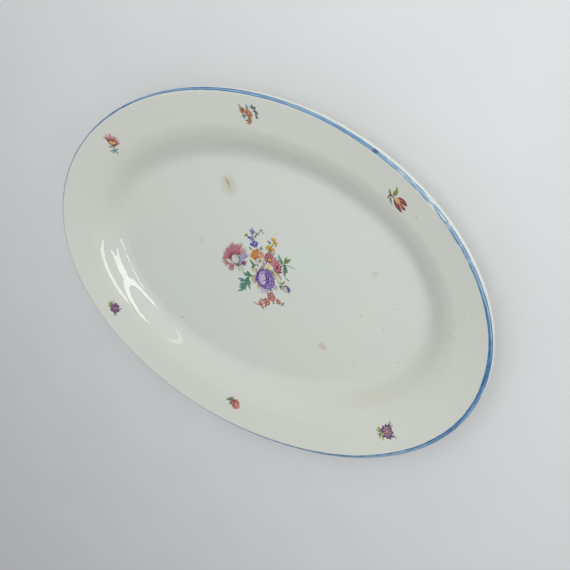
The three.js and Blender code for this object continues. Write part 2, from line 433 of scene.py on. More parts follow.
TAN = mixed_ink((184, 168, 142), (204, 194, 174), (168, 154, 132))
OLIVE = mixed_ink((98, 108, 48), (144, 152, 84), (88, 96, 46))
OLIVE_CREAM = mixed_ink((172, 158, 106), (200, 192, 148), (146, 136, 96))
LIME_OLIVE = mixed_ink((112, 128, 48), (162, 178, 84), (84, 98, 42))
TEAL = mixed_ink((56, 114, 94), (98, 154, 134), (64, 116, 100))
GREY_TEAL = mixed_ink((82, 128, 120), (126, 162, 156), (92, 132, 126))
PALE_TEAL = mixed_ink((112, 152, 150), (152, 182, 178), (84, 118, 124))
GREEN = mixed_ink((88, 124, 56), (136, 166, 94), (78, 110, 52))
GREY_GREEN = mixed_ink((80, 112, 82), (120, 148, 114), (76, 102, 76))
SLATE = mixed_ink((98, 114, 130), (136, 152, 162), (90, 104, 120))
TWIG_GREY = mixed_ink((92, 94, 104), (118, 120, 128), (84, 86, 96))
DARK_TWIG = mixed_ink((72, 74, 84), (104, 106, 118), (66, 68, 78))
CORAL = mixed_ink((150, 56, 56), (202, 116, 106), (156, 70, 68))
BRICK = mixed_ink((138, 48, 52), (188, 102, 98), (146, 62, 66))
FLAME = mixed_ink((166, 76, 50), (208, 126, 90), (168, 84, 58))
MAROON = mixed_ink((96, 20, 34), (134, 36, 46), (88, 18, 32))
PLUM = mixed_ink((166, 112, 156), (88, 32, 84), (64, 20, 66))
HEATHER = mixed_ink((176, 138, 170), (148, 108, 152), (118, 80, 126))
APRICOT = mixed_ink((154, 84, 50), (208, 150, 106), (120, 66, 44))
DUSTY_CORAL = mixed_ink((152, 66, 54), (204, 122, 102), (160, 78, 64))
BLUSH = mixed_ink((226, 174, 150), (232, 196, 174), (206, 138, 116))
DUSKY_PLUM = mixed_ink((130, 94, 122), (98, 64, 94), (84, 54, 82))
DEEP_PLUM = mixed_ink((66, 36, 74), (84, 50, 90), (64, 36, 72))
BROWN = mixed_ink((86, 52, 38), (116, 78, 56), (74, 46, 34))


class Print:
    """One flower print: strokes of enamel laid on the glaze one after another, round its middle."""

    def __init__(self, name, middle, size=1.0):
        self.name = name
        self.middle = Vector(middle)
        self.size = size
        self.points = []
        self.faces = []
        self.colours = []
        self.strokes = 0
        self.chance = random.Random(name)

    def wander(self, amount):
        return self.chance.uniform(-amount, amount)

    def strokes_of(self, ink, shape, *places):
        """Several strokes of one ink, each given as its root, its tip and its width."""
        for root, tip, width in places:
            self.stroke(root, tip, width, ink, shape, self.wander(BEND_STRAY))

    def petals_of(self, ink, root, *places):
        """Petals of one ink that spread from one root, each given as its tip and its width."""
        self.strokes_of(ink, PETAL, *[(root, tip, width) for tip, width in places])

    def lay(self, place, lift, colour):
        x, y = self.middle + place * self.size
        self.points.append(Vector((x, y, glaze_height(x, y) + lift)))
        self.colours.append(colour)
        return len(self.points) - 1

    def stroke(self, root, tip, width, ink, shape=PETAL, bend=0.0):
        """One stroke from root to tip. Bend pushes its middle sideways by a share of its length."""
        root, tip = Vector(root), Vector(tip)
        along = tip - root
        knee = (root + tip) / 2 + 2 * bend * Vector((-along.y, along.x))
        power = math.log(0.5) / math.log(shape.widest)
        tint = 1 + self.wander(TINT_STRAY)
        top = FILM_GAP + FILM_THICKNESS + STROKE_STEP * self.strokes
        self.strokes += 1

        def colour(t, s):
            inside = ink.root.lerp(ink.tip, smooth_step(t))
            return inside.lerp(ink.edge, EDGE_DEPTH * s * s) * tint

        upper = [[self.lay(root, top, colour(0, 0))]]
        under = [[self.lay(root, FILM_GAP, colour(0, 0))]]
        for row in range(1, STROKE_ROWS):
            t = row / STROKE_ROWS
            middle = (1 - t) ** 2 * root + 2 * t * (1 - t) * knee + t * t * tip
            ahead = ((1 - t) * (knee - root) + t * (tip - knee)).normalized()
            side = Vector((-ahead.y, ahead.x)) * width / 2 * math.sin(math.pi * t**power) ** shape.blunt
            across = [2 * column / STROKE_COLUMNS - 1 for column in range(STROKE_COLUMNS + 1)]
            upper.append([self.lay(middle + s * side, top, colour(t, s)) for s in across])
            under.append([self.lay(middle + s * side, FILM_GAP, colour(t, s)) for s in (-1, 1)])
        upper.append([self.lay(tip, top, colour(1, 0))])
        under.append([self.lay(tip, FILM_GAP, colour(1, 0))])
        self.skin(upper)
        self.skin(under)
        for row, next_row, low, next_low in zip(upper, upper[1:], under, under[1:]):
            self.faces.append((row[0], next_row[0], next_low[0], low[0]))
            self.faces.append((row[-1], next_row[-1], next_low[-1], low[-1]))

    def skin(self, rows):
        """Faces between the rows of a stroke, which come to a point at both ends."""
        for row, after in zip(rows, rows[1:]):
            if len(row) == 1:
                self.faces += [(row[0], a, b) for a, b in zip(after, after[1:])]
            elif len(after) == 1:
                self.faces += [(after[0], a, b) for a, b in zip(row, row[1:])]
            else:
                self.faces += zip(row, row[1:], after[1:], after)

    def finish(self):
        piece = mesh_piece(self.name, self.points, self.faces, sharp_angle=STROKE_SHARP_ANGLE)
        enamel = piece.data.color_attributes.new("enamel_colour", "FLOAT_COLOR", "POINT")
        for number, colour in enumerate(self.colours):
            enamel.data[number].color = (*colour, 1.0)
        return piece


def ray(centre, degrees, reach, squash=1.0):
    angle = math.radians(degrees)
    return Vector(centre) + reach * Vector((math.cos(angle), squash * math.sin(angle)))


def petal_ring(sheet, centre, inner, outer, count, width, ink, shape=PETAL, start=0, sweep=360,
               squash=1.0):
    """Petals set round a centre, or fanned over a part of a turn, no two quite alike."""
    for number in range(count):
        degrees = start + sweep * (number + 0.5) / count + sheet.wander(PETAL_TURN_STRAY)
        reach = outer * (1 + sheet.wander(PETAL_REACH_STRAY))
        root = ray(centre, degrees, inner, squash)
        tip = ray(centre, degrees + sheet.wander(PETAL_TIP_STRAY), reach, squash)
        sheet.stroke(root, tip, width, ink, shape, sheet.wander(PETAL_BEND_STRAY))


def dot(sheet, centre, radius, ink, squash=1.0):
    middle = Vector(centre)
    reach = Vector((radius, 0))
    sheet.stroke(middle - reach, middle + reach, 2 * radius * squash, ink, ROUND)


# How far a leaf's rib runs along it and how broad it is, as shares of the leaf's own
RIB_REACH = 0.8
RIB_WIDTH = 0.16


def deeper(ink, share=0.55):
    return Ink(*[colour * share for colour in ink])


def leaf(sheet, root, tip, width, ink, bend=0.0):
    """A leaf with a darker rib down its middle."""
    sheet.stroke(root, tip, width, ink, LEAF, bend)
    rib_end = Vector(root).lerp(Vector(tip), RIB_REACH)
    sheet.stroke(root, rib_end, RIB_WIDTH * width, deeper(ink), STEM, bend)


def leaf_fan(sheet, root, tips, width, ink):
    for tip in tips:
        leaf(sheet, root, tip, width, ink, sheet.wander(LEAF_BEND_STRAY))


def twig(sheet, places, width, ink):
    for start, end in zip(places, places[1:]):
        sheet.stroke(start, end, width, ink, STEM, sheet.wander(BEND_STRAY))


def open_flower(sheet, centre, radius, count, ink, eye_ink):
    """A flower seen from the front: a ring of broad petals, a darker throat and an eye."""
    root, throat, eye = 0.1 * radius, 0.55 * radius, 0.26 * radius
    width = 4.6 * radius / count
    petal_ring(sheet, centre, root, radius, count, width, ink)
    petal_ring(sheet, centre, root, throat, count, 0.3 * width, deeper(ink), SPIKE)
    dot(sheet, centre, eye, eye_ink)


def rose(sheet, centre, radius, outer_ink, fold_ink, light_ink):
    """A full rose: two rings of broad petals and the curled folds of its heart."""
    petal_ring(sheet, centre, 0.15 * radius, radius, 7, 0.95 * radius, outer_ink)
    petal_ring(sheet, centre, 0.1 * radius, 0.72 * radius, 5, 0.8 * radius, fold_ink, start=20)
    for turn in (15, 135, 255):
        start = ray(centre, turn, 0.52 * radius)
        end = ray(centre, turn + 105, 0.5 * radius)
        sheet.stroke(start, end, 0.3 * radius, light_ink, LEAF, -0.22)
        inner_start = ray(centre, turn + 60, 0.26 * radius)
        inner_end = ray(centre, turn + 170, 0.24 * radius)
        sheet.stroke(inner_start, inner_end, 0.2 * radius, deeper(fold_ink), LEAF, -0.25)


def bouquet_leaves(sheet):
    """Leaves, stems and tendrils, which lie under the flowers."""
    leaf(sheet, (-14.2, -12.0), (-13.2, -19.2), 2.1, GREY_TEAL)
    leaf(sheet, (-13.4, -10.6), (-11.8, -14.9), 1.7, GREY_TEAL)
    leaf(sheet, (-16.6, -12.2), (-23.7, -12.0), 2.8, GREY_TEAL)
    sheet.strokes_of(GREY_TEAL, LEAF, ((-18.4, -12.8), (-21.9, -14.2), 1.5),
                     ((-21.0, -20.4), (-25.4, -22.3), 1.3))
    leaf(sheet, (-17.0, -14.4), (-23.2, -17.3), 2.2, TEAL)
    sheet.strokes_of(TEAL, LEAF, ((-19.4, -17.4), (-23.6, -19.5), 1.5))
    leaf(sheet, (-16.4, -14.0), (-22.4, -22.2), 3.5, TEAL)
    leaf(sheet, (-12.4, -8.2), (-17.7, -20.6), 3.3, TEAL, -0.1)
    leaf(sheet, (-10.4, -6.7), (-18.0, -8.0), 2.1, GREY_TEAL)
    leaf(sheet, (-10.0, -6.8), (-18.4, -5.9), 2.2, TEAL, 0.06)
    leaf(sheet, (-11.4, -6.4), (-14.8, -4.2), 2.1, TEAL)
    sheet.strokes_of(MID_GREEN, LEAF, ((-12.6, -8.8), (-17.2, -15.8), 1.6),
                     ((-10.0, -6.7), (-15.6, -6.0), 1.1))
    twig(sheet, [(-19.2, -5.2), (-16.9, -7.1)], 0.5, PALE_TEAL)
    twig(sheet, [(-12.6, -8.2), (-9.7, -6.7), (-6.0, -6.6)], 0.8, GREY_GREEN)
    leaf(sheet, (-6.5, 0.8), (-10.9, 5.7), 2.1, OLIVE)
    leaf(sheet, (-7.0, 1.2), (-9.7, -1.1), 1.7, deeper(OLIVE, 0.7))
    leaf(sheet, (-6.9, 0.9), (-5.8, 2.8), 1.3, SLATE)
    twig(sheet, [(15.0, 4.8), (17.4, 6.0), (19.6, 7.6)], 0.7, DARK_TWIG)
    leaf(sheet, (18.2, 6.8), (14.9, 14.4), 2.7, PALE_TEAL, 0.08)
    leaf(sheet, (17.4, 8.2), (16.6, 11.2), 1.4, TEAL)
    leaf(sheet, (19.2, 7.6), (21.6, 13.8), 2.1, GREEN)
    leaf(sheet, (20.2, 9.2), (24.8, 12.4), 2.2, GREEN)
    leaf(sheet, (20.4, 8.8), (23.4, 10.6), 1.5, LIME_OLIVE)
    twig(sheet, [(19.6, 7.2), (23.7, 7.0), (28.0, 5.6)], 0.55, PALE_TEAL)
    leaf(sheet, (19.4, 7.4), (17.8, -1.2), 2.9, GREY_GREEN, 0.08)
    leaf(sheet, (19.6, 5.4), (21.1, 1.4), 1.9, GREY_GREEN)
    twig(sheet, [(18.2, 0.2), (19.4, -2.8), (22.4, -4.4)], 0.7, GREY_GREEN)
    twig(sheet, [(12.0, -6.6), (14.4, -8.8), (18.6, -9.6)], 0.5, GREEN)
    leaf_fan(sheet, (15.6, -8.2), [(18.5, -4.9), (14.0, -7.0)], 1.3, GREEN)
    leaf_fan(sheet, (14.6, -9.2), [(12.9, -10.9), (14.9, -12.8), (16.6, -11.2)], 1.1, GREEN)
    leaf_fan(sheet, (-10.0, 23.2), [(-13.4, 22.3), (-11.1, 24.9)], 1.3, LIME_OLIVE)
    twig(sheet, [(-4.6, 20.0), (-4.0, 23.4), (-1.3, 25.7), (1.9, 28.7)], 0.45, GREY_GREEN)
    sheet.strokes_of(GREY_GREEN, LEAF, ((-2.2, 24.6), (-4.3, 23.0), 1.4),
                     ((-1.9, 25.2), (-2.8, 27.0), 1.1), ((-1.2, 25.8), (0.2, 24.8), 0.8),
                     ((1.6, 28.3), (2.2, 30.0), 1.0))
    sheet.strokes_of(PALE_TEAL, LEAF, ((1.9, 28.7), (4.0, 29.2), 0.9), ((2.2, 27.9), (4.3, 26.5), 0.8))
    leaf(sheet, (6.6, 22.3), (10.0, 20.1), 1.5, SLATE)
    sheet.stroke((8.0, 20.4), (9.6, 22.0), 0.9, SLATE, LEAF)
    twig(sheet, [(11.8, 21.6), (9.2, 16.8), (7.8, 11.6)], 0.6, GREY_GREEN)
    leaf(sheet, (8.3, 16.2), (8.9, 13.4), 1.9, GREY_GREEN)
    sheet.stroke((7.3, 14.4), (5.4, 12.9), 1.2, OLIVE, LEAF)
    sheet.stroke((9.7, 14.4), (12.6, 13.3), 1.2, PALE_TEAL, LEAF)
    sheet.stroke((-7.4, 13.2), (-10.3, 14.9), 1.6, LIME_OLIVE, LEAF)
    sheet.stroke((-0.6, 14.2), (1.7, 17.8), 1.3, GREY_GREEN, LEAF)
    sheet.stroke((0.5, 15.6), (2.6, 15.2), 0.9, GREY_GREEN, LEAF)


def bouquet_spray(sheet):
    """The small roses that trail below, with their twigs and leaves."""
    twig(sheet, [(4.6, -12.0), (5.4, -19.4), (0.9, -24.6), (-4.3, -28.0), (-7.4, -29.4)], 0.4, GREY_GREEN)
    twig(sheet, [(-10.9, -27.5), (-9.4, -28.4), (-7.2, -29.5)], 0.6, DARK_TWIG)
    twig(sheet, [(5.6, -19.0), (9.3, -20.3), (11.4, -21.8), (14.4, -23.5)], 0.45, GREY_GREEN)
    sheet.strokes_of(SLATE, LEAF, ((4.5, -12.8), (3.5, -15.8), 0.9), ((5.3, -13.6), (7.2, -16.2), 1.0),
                     ((4.9, -13.4), (5.4, -15.4), 0.7))
    leaf_fan(sheet, (-1.8, -24.4), [(-5.2, -23.7), (-3.8, -25.2)], 1.2, GREY_GREEN)
    leaf_fan(sheet, (7.1, -23.3), [(6.4, -26.0), (8.2, -25.0)], 0.9, GREY_TEAL)
    leaf_fan(sheet, (14.0, -23.5), [(17.0, -21.9), (13.1, -25.6), (16.6, -24.3)], 0.8, GREY_TEAL)
    leaf_fan(sheet, (-0.6, -27.6), [(-0.4, -30.2), (0.9, -29.2)], 0.9, GREY_TEAL)
    rose(sheet, (5.4, -20.0), 3.5, BRICK, CORAL, PALE_PINK)
    rose(sheet, (0.9, -24.8), 2.9, CORAL, BRICK, BLUSH)
    sheet.stroke((-4.2, -28.2), (-2.5, -31.5), 1.7, FLAME)
    sheet.stroke((-4.6, -27.6), (-6.0, -25.4), 1.6, FLAME)
    rose(sheet, (-4.5, -27.9), 2.2, FLAME, BRICK, BLUSH)
    open_flower(sheet, (11.3, -22.6), 2.1, 6, FLAME, WHITE)


# Tips of the great aster's fan of petals, taken in order round it
ASTER_CENTRE = (-24.4, 3.6)
ASTER_TIPS = [(-14.8, 14.4), (-17.8, 16.9), (-22.3, 14.8), (-25.3, 15.0), (-29.2, 12.0), (-31.4, 9.7),
              (-34.4, 5.6), (-36.3, 1.6), (-36.9, -1.7), (-32.2, -5.4), (-29.3, -7.1), (-26.2, -6.4)]


def spike_fan(sheet, centre, tips, inner, outer, per_gap, width, ink):
    """Thin petals that fan out to a ragged edge, between two shares of the way to it."""
    centre = Vector(centre)
    for before, after in zip(tips, tips[1:]):
        for number in range(per_gap):
            share = (number + 0.5 + sheet.wander(SPIKE_PLACE_STRAY)) / per_gap
            reach = Vector(before).lerp(Vector(after), share) - centre
            tip = centre + reach * outer * (1 + sheet.wander(SPIKE_REACH_STRAY))
            sheet.stroke(centre + reach * inner, tip, width, ink, SPIKE, sheet.wander(PETAL_BEND_STRAY))


def bouquet_aster(sheet):
    """The large spiky bloom at the side, pale at its heart."""
    right_tips = [(-15.4, 14.0), (-12.8, 13.5), (-11.8, 11.1), (-10.6, 8.2), (-11.6, 6.4)]
    right_centre = (-20.0, 5.0)
    spike_fan(sheet, right_centre, right_tips, 0.1, 1.0, 3, 0.8, PALE_PINK)
    spike_fan(sheet, right_centre, right_tips, 0.2, 0.86, 2, 0.9, DUSTY_PINK)
    upper_tips = ASTER_TIPS[1:9]
    for tips, inner, outer, per_gap, width, ink in (
            (ASTER_TIPS, 0.25, 1.04, 2, 0.85, SOFT_ROSE), (ASTER_TIPS, 0.25, 0.93, 3, 0.7, PINK),
            (ASTER_TIPS, 0.25, 0.84, 3, 0.75, SOFT_ROSE), (ASTER_TIPS, 0.3, 0.72, 2, 0.6, PINK),
            (upper_tips, 0.2, 0.6, 2, 0.65, CRIMSON), (ASTER_TIPS, 0.4, 0.98, 2, 0.28, CRIMSON)):
        spike_fan(sheet, ASTER_CENTRE, tips, inner, outer, per_gap, width, ink)
    sheet.strokes_of(DEEP_CRIMSON, SPIKE, ((-25.6, 2.8), (-30.6, 2.6), 1.4),
                     ((-25.6, 3.2), (-29.2, 4.6), 1.4), ((-25.4, 4.0), (-27.6, 6.8), 1.3),
                     ((-21.0, 6.6), (-18.8, 9.6), 1.2))
    sheet.strokes_of(MAGENTA, SPIKE, ((-17.8, 1.3), (-13.0, 3.3), 1.1),
                     ((-17.8, 1.0), (-14.2, 0.2), 1.1), ((-17.8, 1.2), (-13.4, 1.8), 0.9))
    sheet.strokes_of(LIME_CREAM, PETAL, ((-25.0, -1.5), (-32.0, 1.5), 3.1),
                     ((-21.0, 0.2), (-22.9, -6.0), 3.7), ((-20.6, 0.2), (-17.4, -5.0), 3.9))
    sheet.strokes_of(WHITE, PETAL, ((-26.4, -0.9), (-30.8, 1.1), 1.5),
                     ((-20.4, -0.6), (-18.2, -4.0), 2.2), ((-21.4, -0.8), (-22.4, -4.6), 1.9))
    sheet.strokes_of(LAVENDER, PETAL, ((-18.6, 0.8), (-13.0, 9.2), 2.2),
                     ((-19.8, 0.6), (-15.2, 9.6), 3.0))
    sheet.strokes_of(GREY_LILAC, LEAF, ((-18.6, 2.2), (-15.8, 7.6), 1.1))
    dot(sheet, (-23.2, 2.9), 3.7, PALE_HEART, 1.1)
    sheet.strokes_of(WHITE, LEAF, ((-24.7, 1.0), (-24.6, 5.4), 2.0))
    sheet.strokes_of(SAGE_SHADE, LEAF, ((-25.1, -0.4), (-21.2, -1.0), 1.4),
                     ((-22.6, -0.8), (-19.1, 2.2), 1.5), ((-19.6, 1.6), (-18.8, 4.4), 1.2),
                     ((-18.8, 3.8), (-20.0, 6.3), 0.6), ((-23.4, -1.8), (-18.6, -0.2), 1.4),
                     ((-18.8, -0.4), (-17.6, 2.6), 0.9))
    sheet.strokes_of(BELL_BLUE, SPIKE, ((-19.4, 1.6), (-14.9, 9.2), 0.5),
                     ((-18.2, 1.2), (-12.8, 8.6), 0.45), ((-20.2, -0.8), (-17.2, -4.6), 0.45),
                     ((-21.2, -1.0), (-21.6, -5.6), 0.45), ((-25.8, -1.3), (-31.2, 0.8), 0.4))


def bouquet_top(sheet):
    """Bells, the blue flower and the two yellow flowers that stand above the rest."""
    bell_foot, lower_bell_foot = (-5.6, 24.4), (-5.3, 21.0)
    sheet.petals_of(BELL_BLUE, bell_foot, ((-7.3, 28.5), 1.5), ((-3.4, 28.1), 1.5), ((-5.2, 29.9), 1.4))
    sheet.petals_of(BELL_BLUE, lower_bell_foot, ((-6.4, 24.5), 1.5), ((-8.5, 20.6), 1.4),
                    ((-9.4, 22.6), 1.9))
    sheet.stroke((-7.6, 21.7), (-10.3, 22.1), 1.7, DEEP_BLUE)
    sheet.stroke((-5.5, 25.2), (-5.3, 28.6), 0.5, DEEP_BLUE, SPIKE)
    blue = (-4.9, 17.9)
    sheet.petals_of(DEEP_BLUE, blue, ((-8.7, 16.8), 2.3), ((-6.2, 20.2), 2.2), ((-3.6, 20.3), 2.0),
                    ((-1.4, 19.2), 2.3), ((-2.4, 16.4), 2.0), ((-5.2, 15.3), 2.3))
    sheet.strokes_of(SKY, LEAF, ((-4.8, 17.4), (-2.8, 20.0), 1.1), ((-5.2, 18.3), (-7.6, 18.4), 0.9),
                     ((-4.6, 17.6), (-5.0, 15.9), 0.7))
    sheet.strokes_of(YELLOW, PETAL, ((12.1, 22.5), (9.8, 25.0), 2.3), ((12.1, 22.5), (12.9, 25.0), 1.9),
                     ((12.2, 22.4), (14.7, 20.9), 2.5), ((12.1, 22.4), (11.3, 20.2), 1.8),
                     ((13.0, 21.2), (13.3, 18.9), 1.6))
    sheet.strokes_of(YELLOW, PETAL, ((8.3, 17.1), (4.2, 16.5), 2.5), ((8.3, 17.2), (6.0, 19.0), 1.9),
                     ((8.3, 17.2), (9.0, 19.4), 2.2), ((8.4, 17.1), (12.5, 16.3), 2.4),
                     ((8.1, 16.8), (6.0, 14.8), 1.8))
    sheet.strokes_of(OCHRE, SPIKE, ((11.9, 22.7), (10.4, 24.4), 0.5), ((12.4, 22.2), (14.2, 21.2), 0.5),
                     ((7.8, 17.0), (5.0, 16.7), 0.5), ((8.4, 17.4), (8.8, 18.9), 0.5),
                     ((8.8, 17.0), (11.6, 16.4), 0.5))
    sheet.strokes_of(RUST, LEAF, ((11.6, 22.9), (12.8, 22.0), 0.7), ((7.2, 16.5), (9.0, 16.7), 0.8),
                     ((10.9, 16.3), (12.4, 16.0), 0.6))


def bouquet_middle(sheet):
    """Orange, peach and crimson flowers across the middle, with the white one below them."""
    orange = (-3.7, 9.8)
    sheet.petals_of(ORANGE, orange, ((-9.5, 8.2), 2.9), ((-8.3, 11.0), 3.1), ((-6.6, 13.4), 2.8),
                    ((-3.7, 14.4), 2.7), ((-0.8, 13.6), 2.4), ((-6.8, 5.8), 2.7), ((-1.4, 7.4), 2.2))
    sheet.petals_of(AMBER, orange, ((-7.0, 9.4), 1.4), ((-5.6, 11.8), 1.4), ((-3.4, 12.4), 1.3),
                    ((-5.2, 7.6), 1.3))
    sheet.strokes_of(RUST, SPIKE, ((-3.0, 13.6), (-2.2, 15.3), 1.1), ((-4.4, 8.6), (-5.4, 6.8), 1.0),
                     ((-2.6, 10.6), (-1.4, 12.4), 0.9), ((-5.2, 9.6), (-7.6, 9.0), 0.5),
                     ((-4.4, 11.0), (-5.4, 13.0), 0.5), ((-4.6, 10.6), (-7.4, 10.8), 0.4),
                     ((-3.6, 10.8), (-3.6, 13.2), 0.4), ((-4.2, 9.0), (-6.2, 6.8), 0.4))
    open_flower(sheet, (0.5, 11.2), 2.6, 6, PEACH, PALE_PINK)
    crimson, taller = (13.2, 4.2), 1.22
    for inner, outer, count, width, ink, shape, start in (
            (0.6, 3.8, 13, 1.4, CRIMSON, SPIKE, 0), (0.4, 3.0, 11, 0.9, PINK, SPIKE, 10),
            (0.2, 2.6, 9, 0.7, DEEP_CRIMSON, SPIKE, 25), (1.3, 2.1, 7, 0.6, BLUSH, ROUND, 40)):
        petal_ring(sheet, crimson, inner, outer, count, width, ink, shape, start, 360, taller)
    petal_ring(sheet, (11.8, 8.0), 0.3, 3.2, 7, 1.6, DUSTY_PINK)
    sheet.strokes_of(MAROON, LEAF, ((10.4, 1.4), (13.4, 0.2), 0.7), ((14.0, 0.4), (17.2, 1.4), 0.8))
    ringed = (7.4, 8.8)
    petal_ring(sheet, ringed, 0.6, 4.8, 10, 2.2, DUSTY_PINK)
    petal_ring(sheet, ringed, 0.6, 4.8, 3, 1.9, CRIMSON, PETAL, 40, 105)
    petal_ring(sheet, ringed, 0.6, 4.7, 5, 1.3, PLUM, PETAL, 130, 140)
    petal_ring(sheet, ringed, 1.2, 4.0, 12, 0.7, PINK, SPIKE, 15)
    dot(sheet, ringed, 2.1, MAROON)
    dot(sheet, ringed, 1.6, OCHRE)
    white_middle = (-0.6, 6.2)
    sheet.petals_of(WARM_WHITE, white_middle, ((-6.1, 3.5), 2.7), ((-1.9, 0.9), 2.7), ((1.4, 8.8), 2.2),
                    ((2.7, 6.0), 2.2), ((1.2, 3.2), 2.2), ((-2.4, 8.0), 1.8))
    sheet.strokes_of(LAVENDER, LEAF, ((-5.8, 3.6), (-2.2, 1.6), 0.6), ((-1.6, 4.8), (-3.8, 2.8), 0.5))
    dot(sheet, white_middle, 1.2, OCHRE)
    sheet.stroke((-1.7, 5.6), (-0.1, 6.5), 0.9, BROWN, LEAF)
    sheet.strokes_of(UMBER_GREY, LEAF, ((-5.7, 3.0), (-2.0, 1.3), 0.6), ((1.6, 6.6), (1.7, 3.6), 0.6),
                     ((-1.7, 7.8), (-1.0, 6.4), 0.5), ((-4.6, 4.6), (-1.6, 5.2), 0.4),
                     ((-1.9, 0.9), (1.6, 0.6), 0.9), ((1.4, 3.2), (0.6, 0.6), 0.6))
    cream_middle = (6.5, 3.1)
    sheet.petals_of(WHITE, cream_middle, ((2.6, 4.2), 2.7), ((5.2, 6.4), 2.4), ((10.0, 3.4), 2.8),
                    ((4.0, 1.2), 2.2))
    dot(sheet, cream_middle, 2.7, CREAM)
    sheet.stroke((5.2, 2.6), (7.8, 3.5), 1.4, LEMON, LEAF)
    sheet.strokes_of(UMBER_GREY, LEAF, ((2.7, 2.2), (2.6, 5.2), 0.6), ((3.0, 1.4), (8.4, 0.9), 0.9))


def bouquet_peony(sheet):
    """The great purple bloom low in the middle, with the pale outer petals that open round it."""
    sheet.strokes_of(TAN, PETAL, ((-4.6, -4.4), (-9.1, -12.6), 4.2))
    sheet.strokes_of(OLIVE_CREAM, PETAL, ((-5.4, -5.6), (-10.6, -9.4), 2.0),
                     ((-4.4, -3.2), (-6.6, 0.2), 2.0), ((-4.6, -11.0), (-4.7, -16.0), 1.9))
    sheet.strokes_of(LIME_CREAM, PETAL, ((-4.6, -2.6), (-9.8, -2.2), 2.1))
    sheet.strokes_of(MAUVE, PETAL, ((12.4, 0.2), (16.0, -4.6), 0.9), ((6.6, -9.0), (11.2, -12.8), 3.4),
                     ((-0.6, -13.0), (-0.2, -18.0), 2.4), ((1.6, -13.0), (1.8, -18.0), 2.3),
                     ((4.0, -12.4), (4.6, -14.8), 2.0))
    sheet.strokes_of(WHITE, PETAL, ((-2.8, -12.8), (-3.0, -19.0), 2.6))
    sheet.strokes_of(PALE_PINK, PETAL, ((8.0, -10.4), (10.2, -12.4), 1.1),
                     ((0.6, -14.0), (0.8, -17.0), 0.8))
    sheet.strokes_of(TAN, PETAL, ((9.0, 0.6), (14.4, -6.2), 3.6))
    sheet.strokes_of(CREAM, PETAL, ((10.2, 0.0), (14.7, -5.7), 2.6))
    sheet.strokes_of(UMBER_GREY, LEAF, ((8.2, 0.4), (11.8, -4.6), 0.9))
    centre = (2.0, -6.9)
    dot(sheet, centre, 7.2, PURPLE, 0.95)
    petal_ring(sheet, centre, 3.4, 8.1, 13, 3.0, PURPLE, PETAL, 0, 360, 0.94)
    for turn in range(-80, 120, 22):
        sheet.stroke(ray(centre, turn - 34, 2.6), ray(centre, turn, 7.6, 0.94), 2.2, VIOLET, LEAF, 0.13)
        sheet.stroke(ray(centre, turn - 46, 2.6), ray(centre, turn - 10, 7.4, 0.94), 0.7, DEEP_PURPLE,
                     LEAF, 0.13)
    for turn in range(-60, 110, 40):
        sheet.stroke(ray(centre, turn - 28, 3.4), ray(centre, turn, 6.6, 0.94), 0.5, MAUVE, SPIKE, 0.12)
    for reach, first in ((4.5, -75), (6.3, -60)):
        for turn in range(first, 100, 30):
            for beyond, width, ink, bend in ((0.0, 0.8, SOFT_VIOLET, -0.16), (0.7, 0.5, DEEP_PURPLE, -0.2)):
                edge = reach + beyond
                sheet.stroke(ray(centre, turn, edge), ray(centre, turn + 27, edge, 0.96), width, ink,
                             LEAF, bend)
    sheet.strokes_of(VIOLET, LEAF, ((-3.0, -1.8), (4.4, 0.2), 1.8), ((-4.6, -11.0), (2.4, -14.2), 1.8))
    sheet.strokes_of(PURPLE, PETAL, ((2.4, -2.2), (4.4, 0.8), 2.3), ((4.4, -2.6), (7.4, -0.2), 2.3))
    sheet.strokes_of(LAVENDER, LEAF, ((-1.8, -3.0), (-5.0, -5.4), 1.3))
    sheet.strokes_of(DEEP_PURPLE, LEAF, ((-1.1, -1.9), (-5.3, -4.3), 1.2),
                     ((-3.1, -8.1), (-6.8, -10.0), 1.0))
    sheet.strokes_of(LILAC, LEAF, ((-1.4, -2.0), (3.6, -0.8), 0.9), ((-1.2, -2.2), (-3.6, -10.0), 3.0),
                     ((1.4, -2.6), (-1.4, -10.8), 3.5), ((2.8, -4.0), (0.6, -11.6), 2.8),
                     ((3.4, -7.6), (-2.8, -11.6), 2.4))
    sheet.strokes_of(PALE_LILAC, LEAF, ((0.6, -3.6), (-1.8, -10.0), 2.5),
                     ((2.6, -8.2), (-1.8, -11.2), 1.7))
    sheet.strokes_of(MAUVE, LEAF, ((-1.0, -3.2), (-3.0, -9.0), 0.6), ((2.2, -3.4), (0.8, -10.2), 0.6),
                     ((0.4, -4.4), (-0.6, -9.6), 0.4))
    sheet.strokes_of(DEEP_PURPLE, LEAF, ((3.2, -1.6), (2.8, -6.6), 1.0),
                     ((3.6, -4.6), (2.2, -11.4), 0.9), ((-2.2, -2.6), (-7.2, -10.8), 1.3),
                     ((-3.8, -5.6), (-5.4, -11.6), 0.9), ((4.2, -6.6), (-0.4, -8.8), 0.5))
    sheet.strokes_of(LILAC, LEAF, ((-1.6, -9.8), (1.0, -12.4), 1.2), ((-2.6, -8.8), (-1.6, -12.0), 0.9),
                     ((2.2, -12.5), (5.8, -12.8), 0.8))


def bouquet_bud(sheet):
    """The half-open bud beside the peony."""
    dot(sheet, (19.6, -10.7), 2.4, GREY_LILAC)
    sheet.stroke((17.0, -10.0), (17.9, -12.6), 1.5, YELLOW, LEAF, -0.1)
    sheet.stroke((19.2, -8.1), (20.3, -13.4), 1.9, BELL_BLUE, LEAF, 0.2)
    sheet.stroke((20.6, -8.6), (21.0, -13.3), 1.2, DEEP_PURPLE, LEAF, 0.16)
    sheet.stroke((17.2, -9.6), (19.8, -8.0), 0.7, BROWN, LEAF, 0.1)


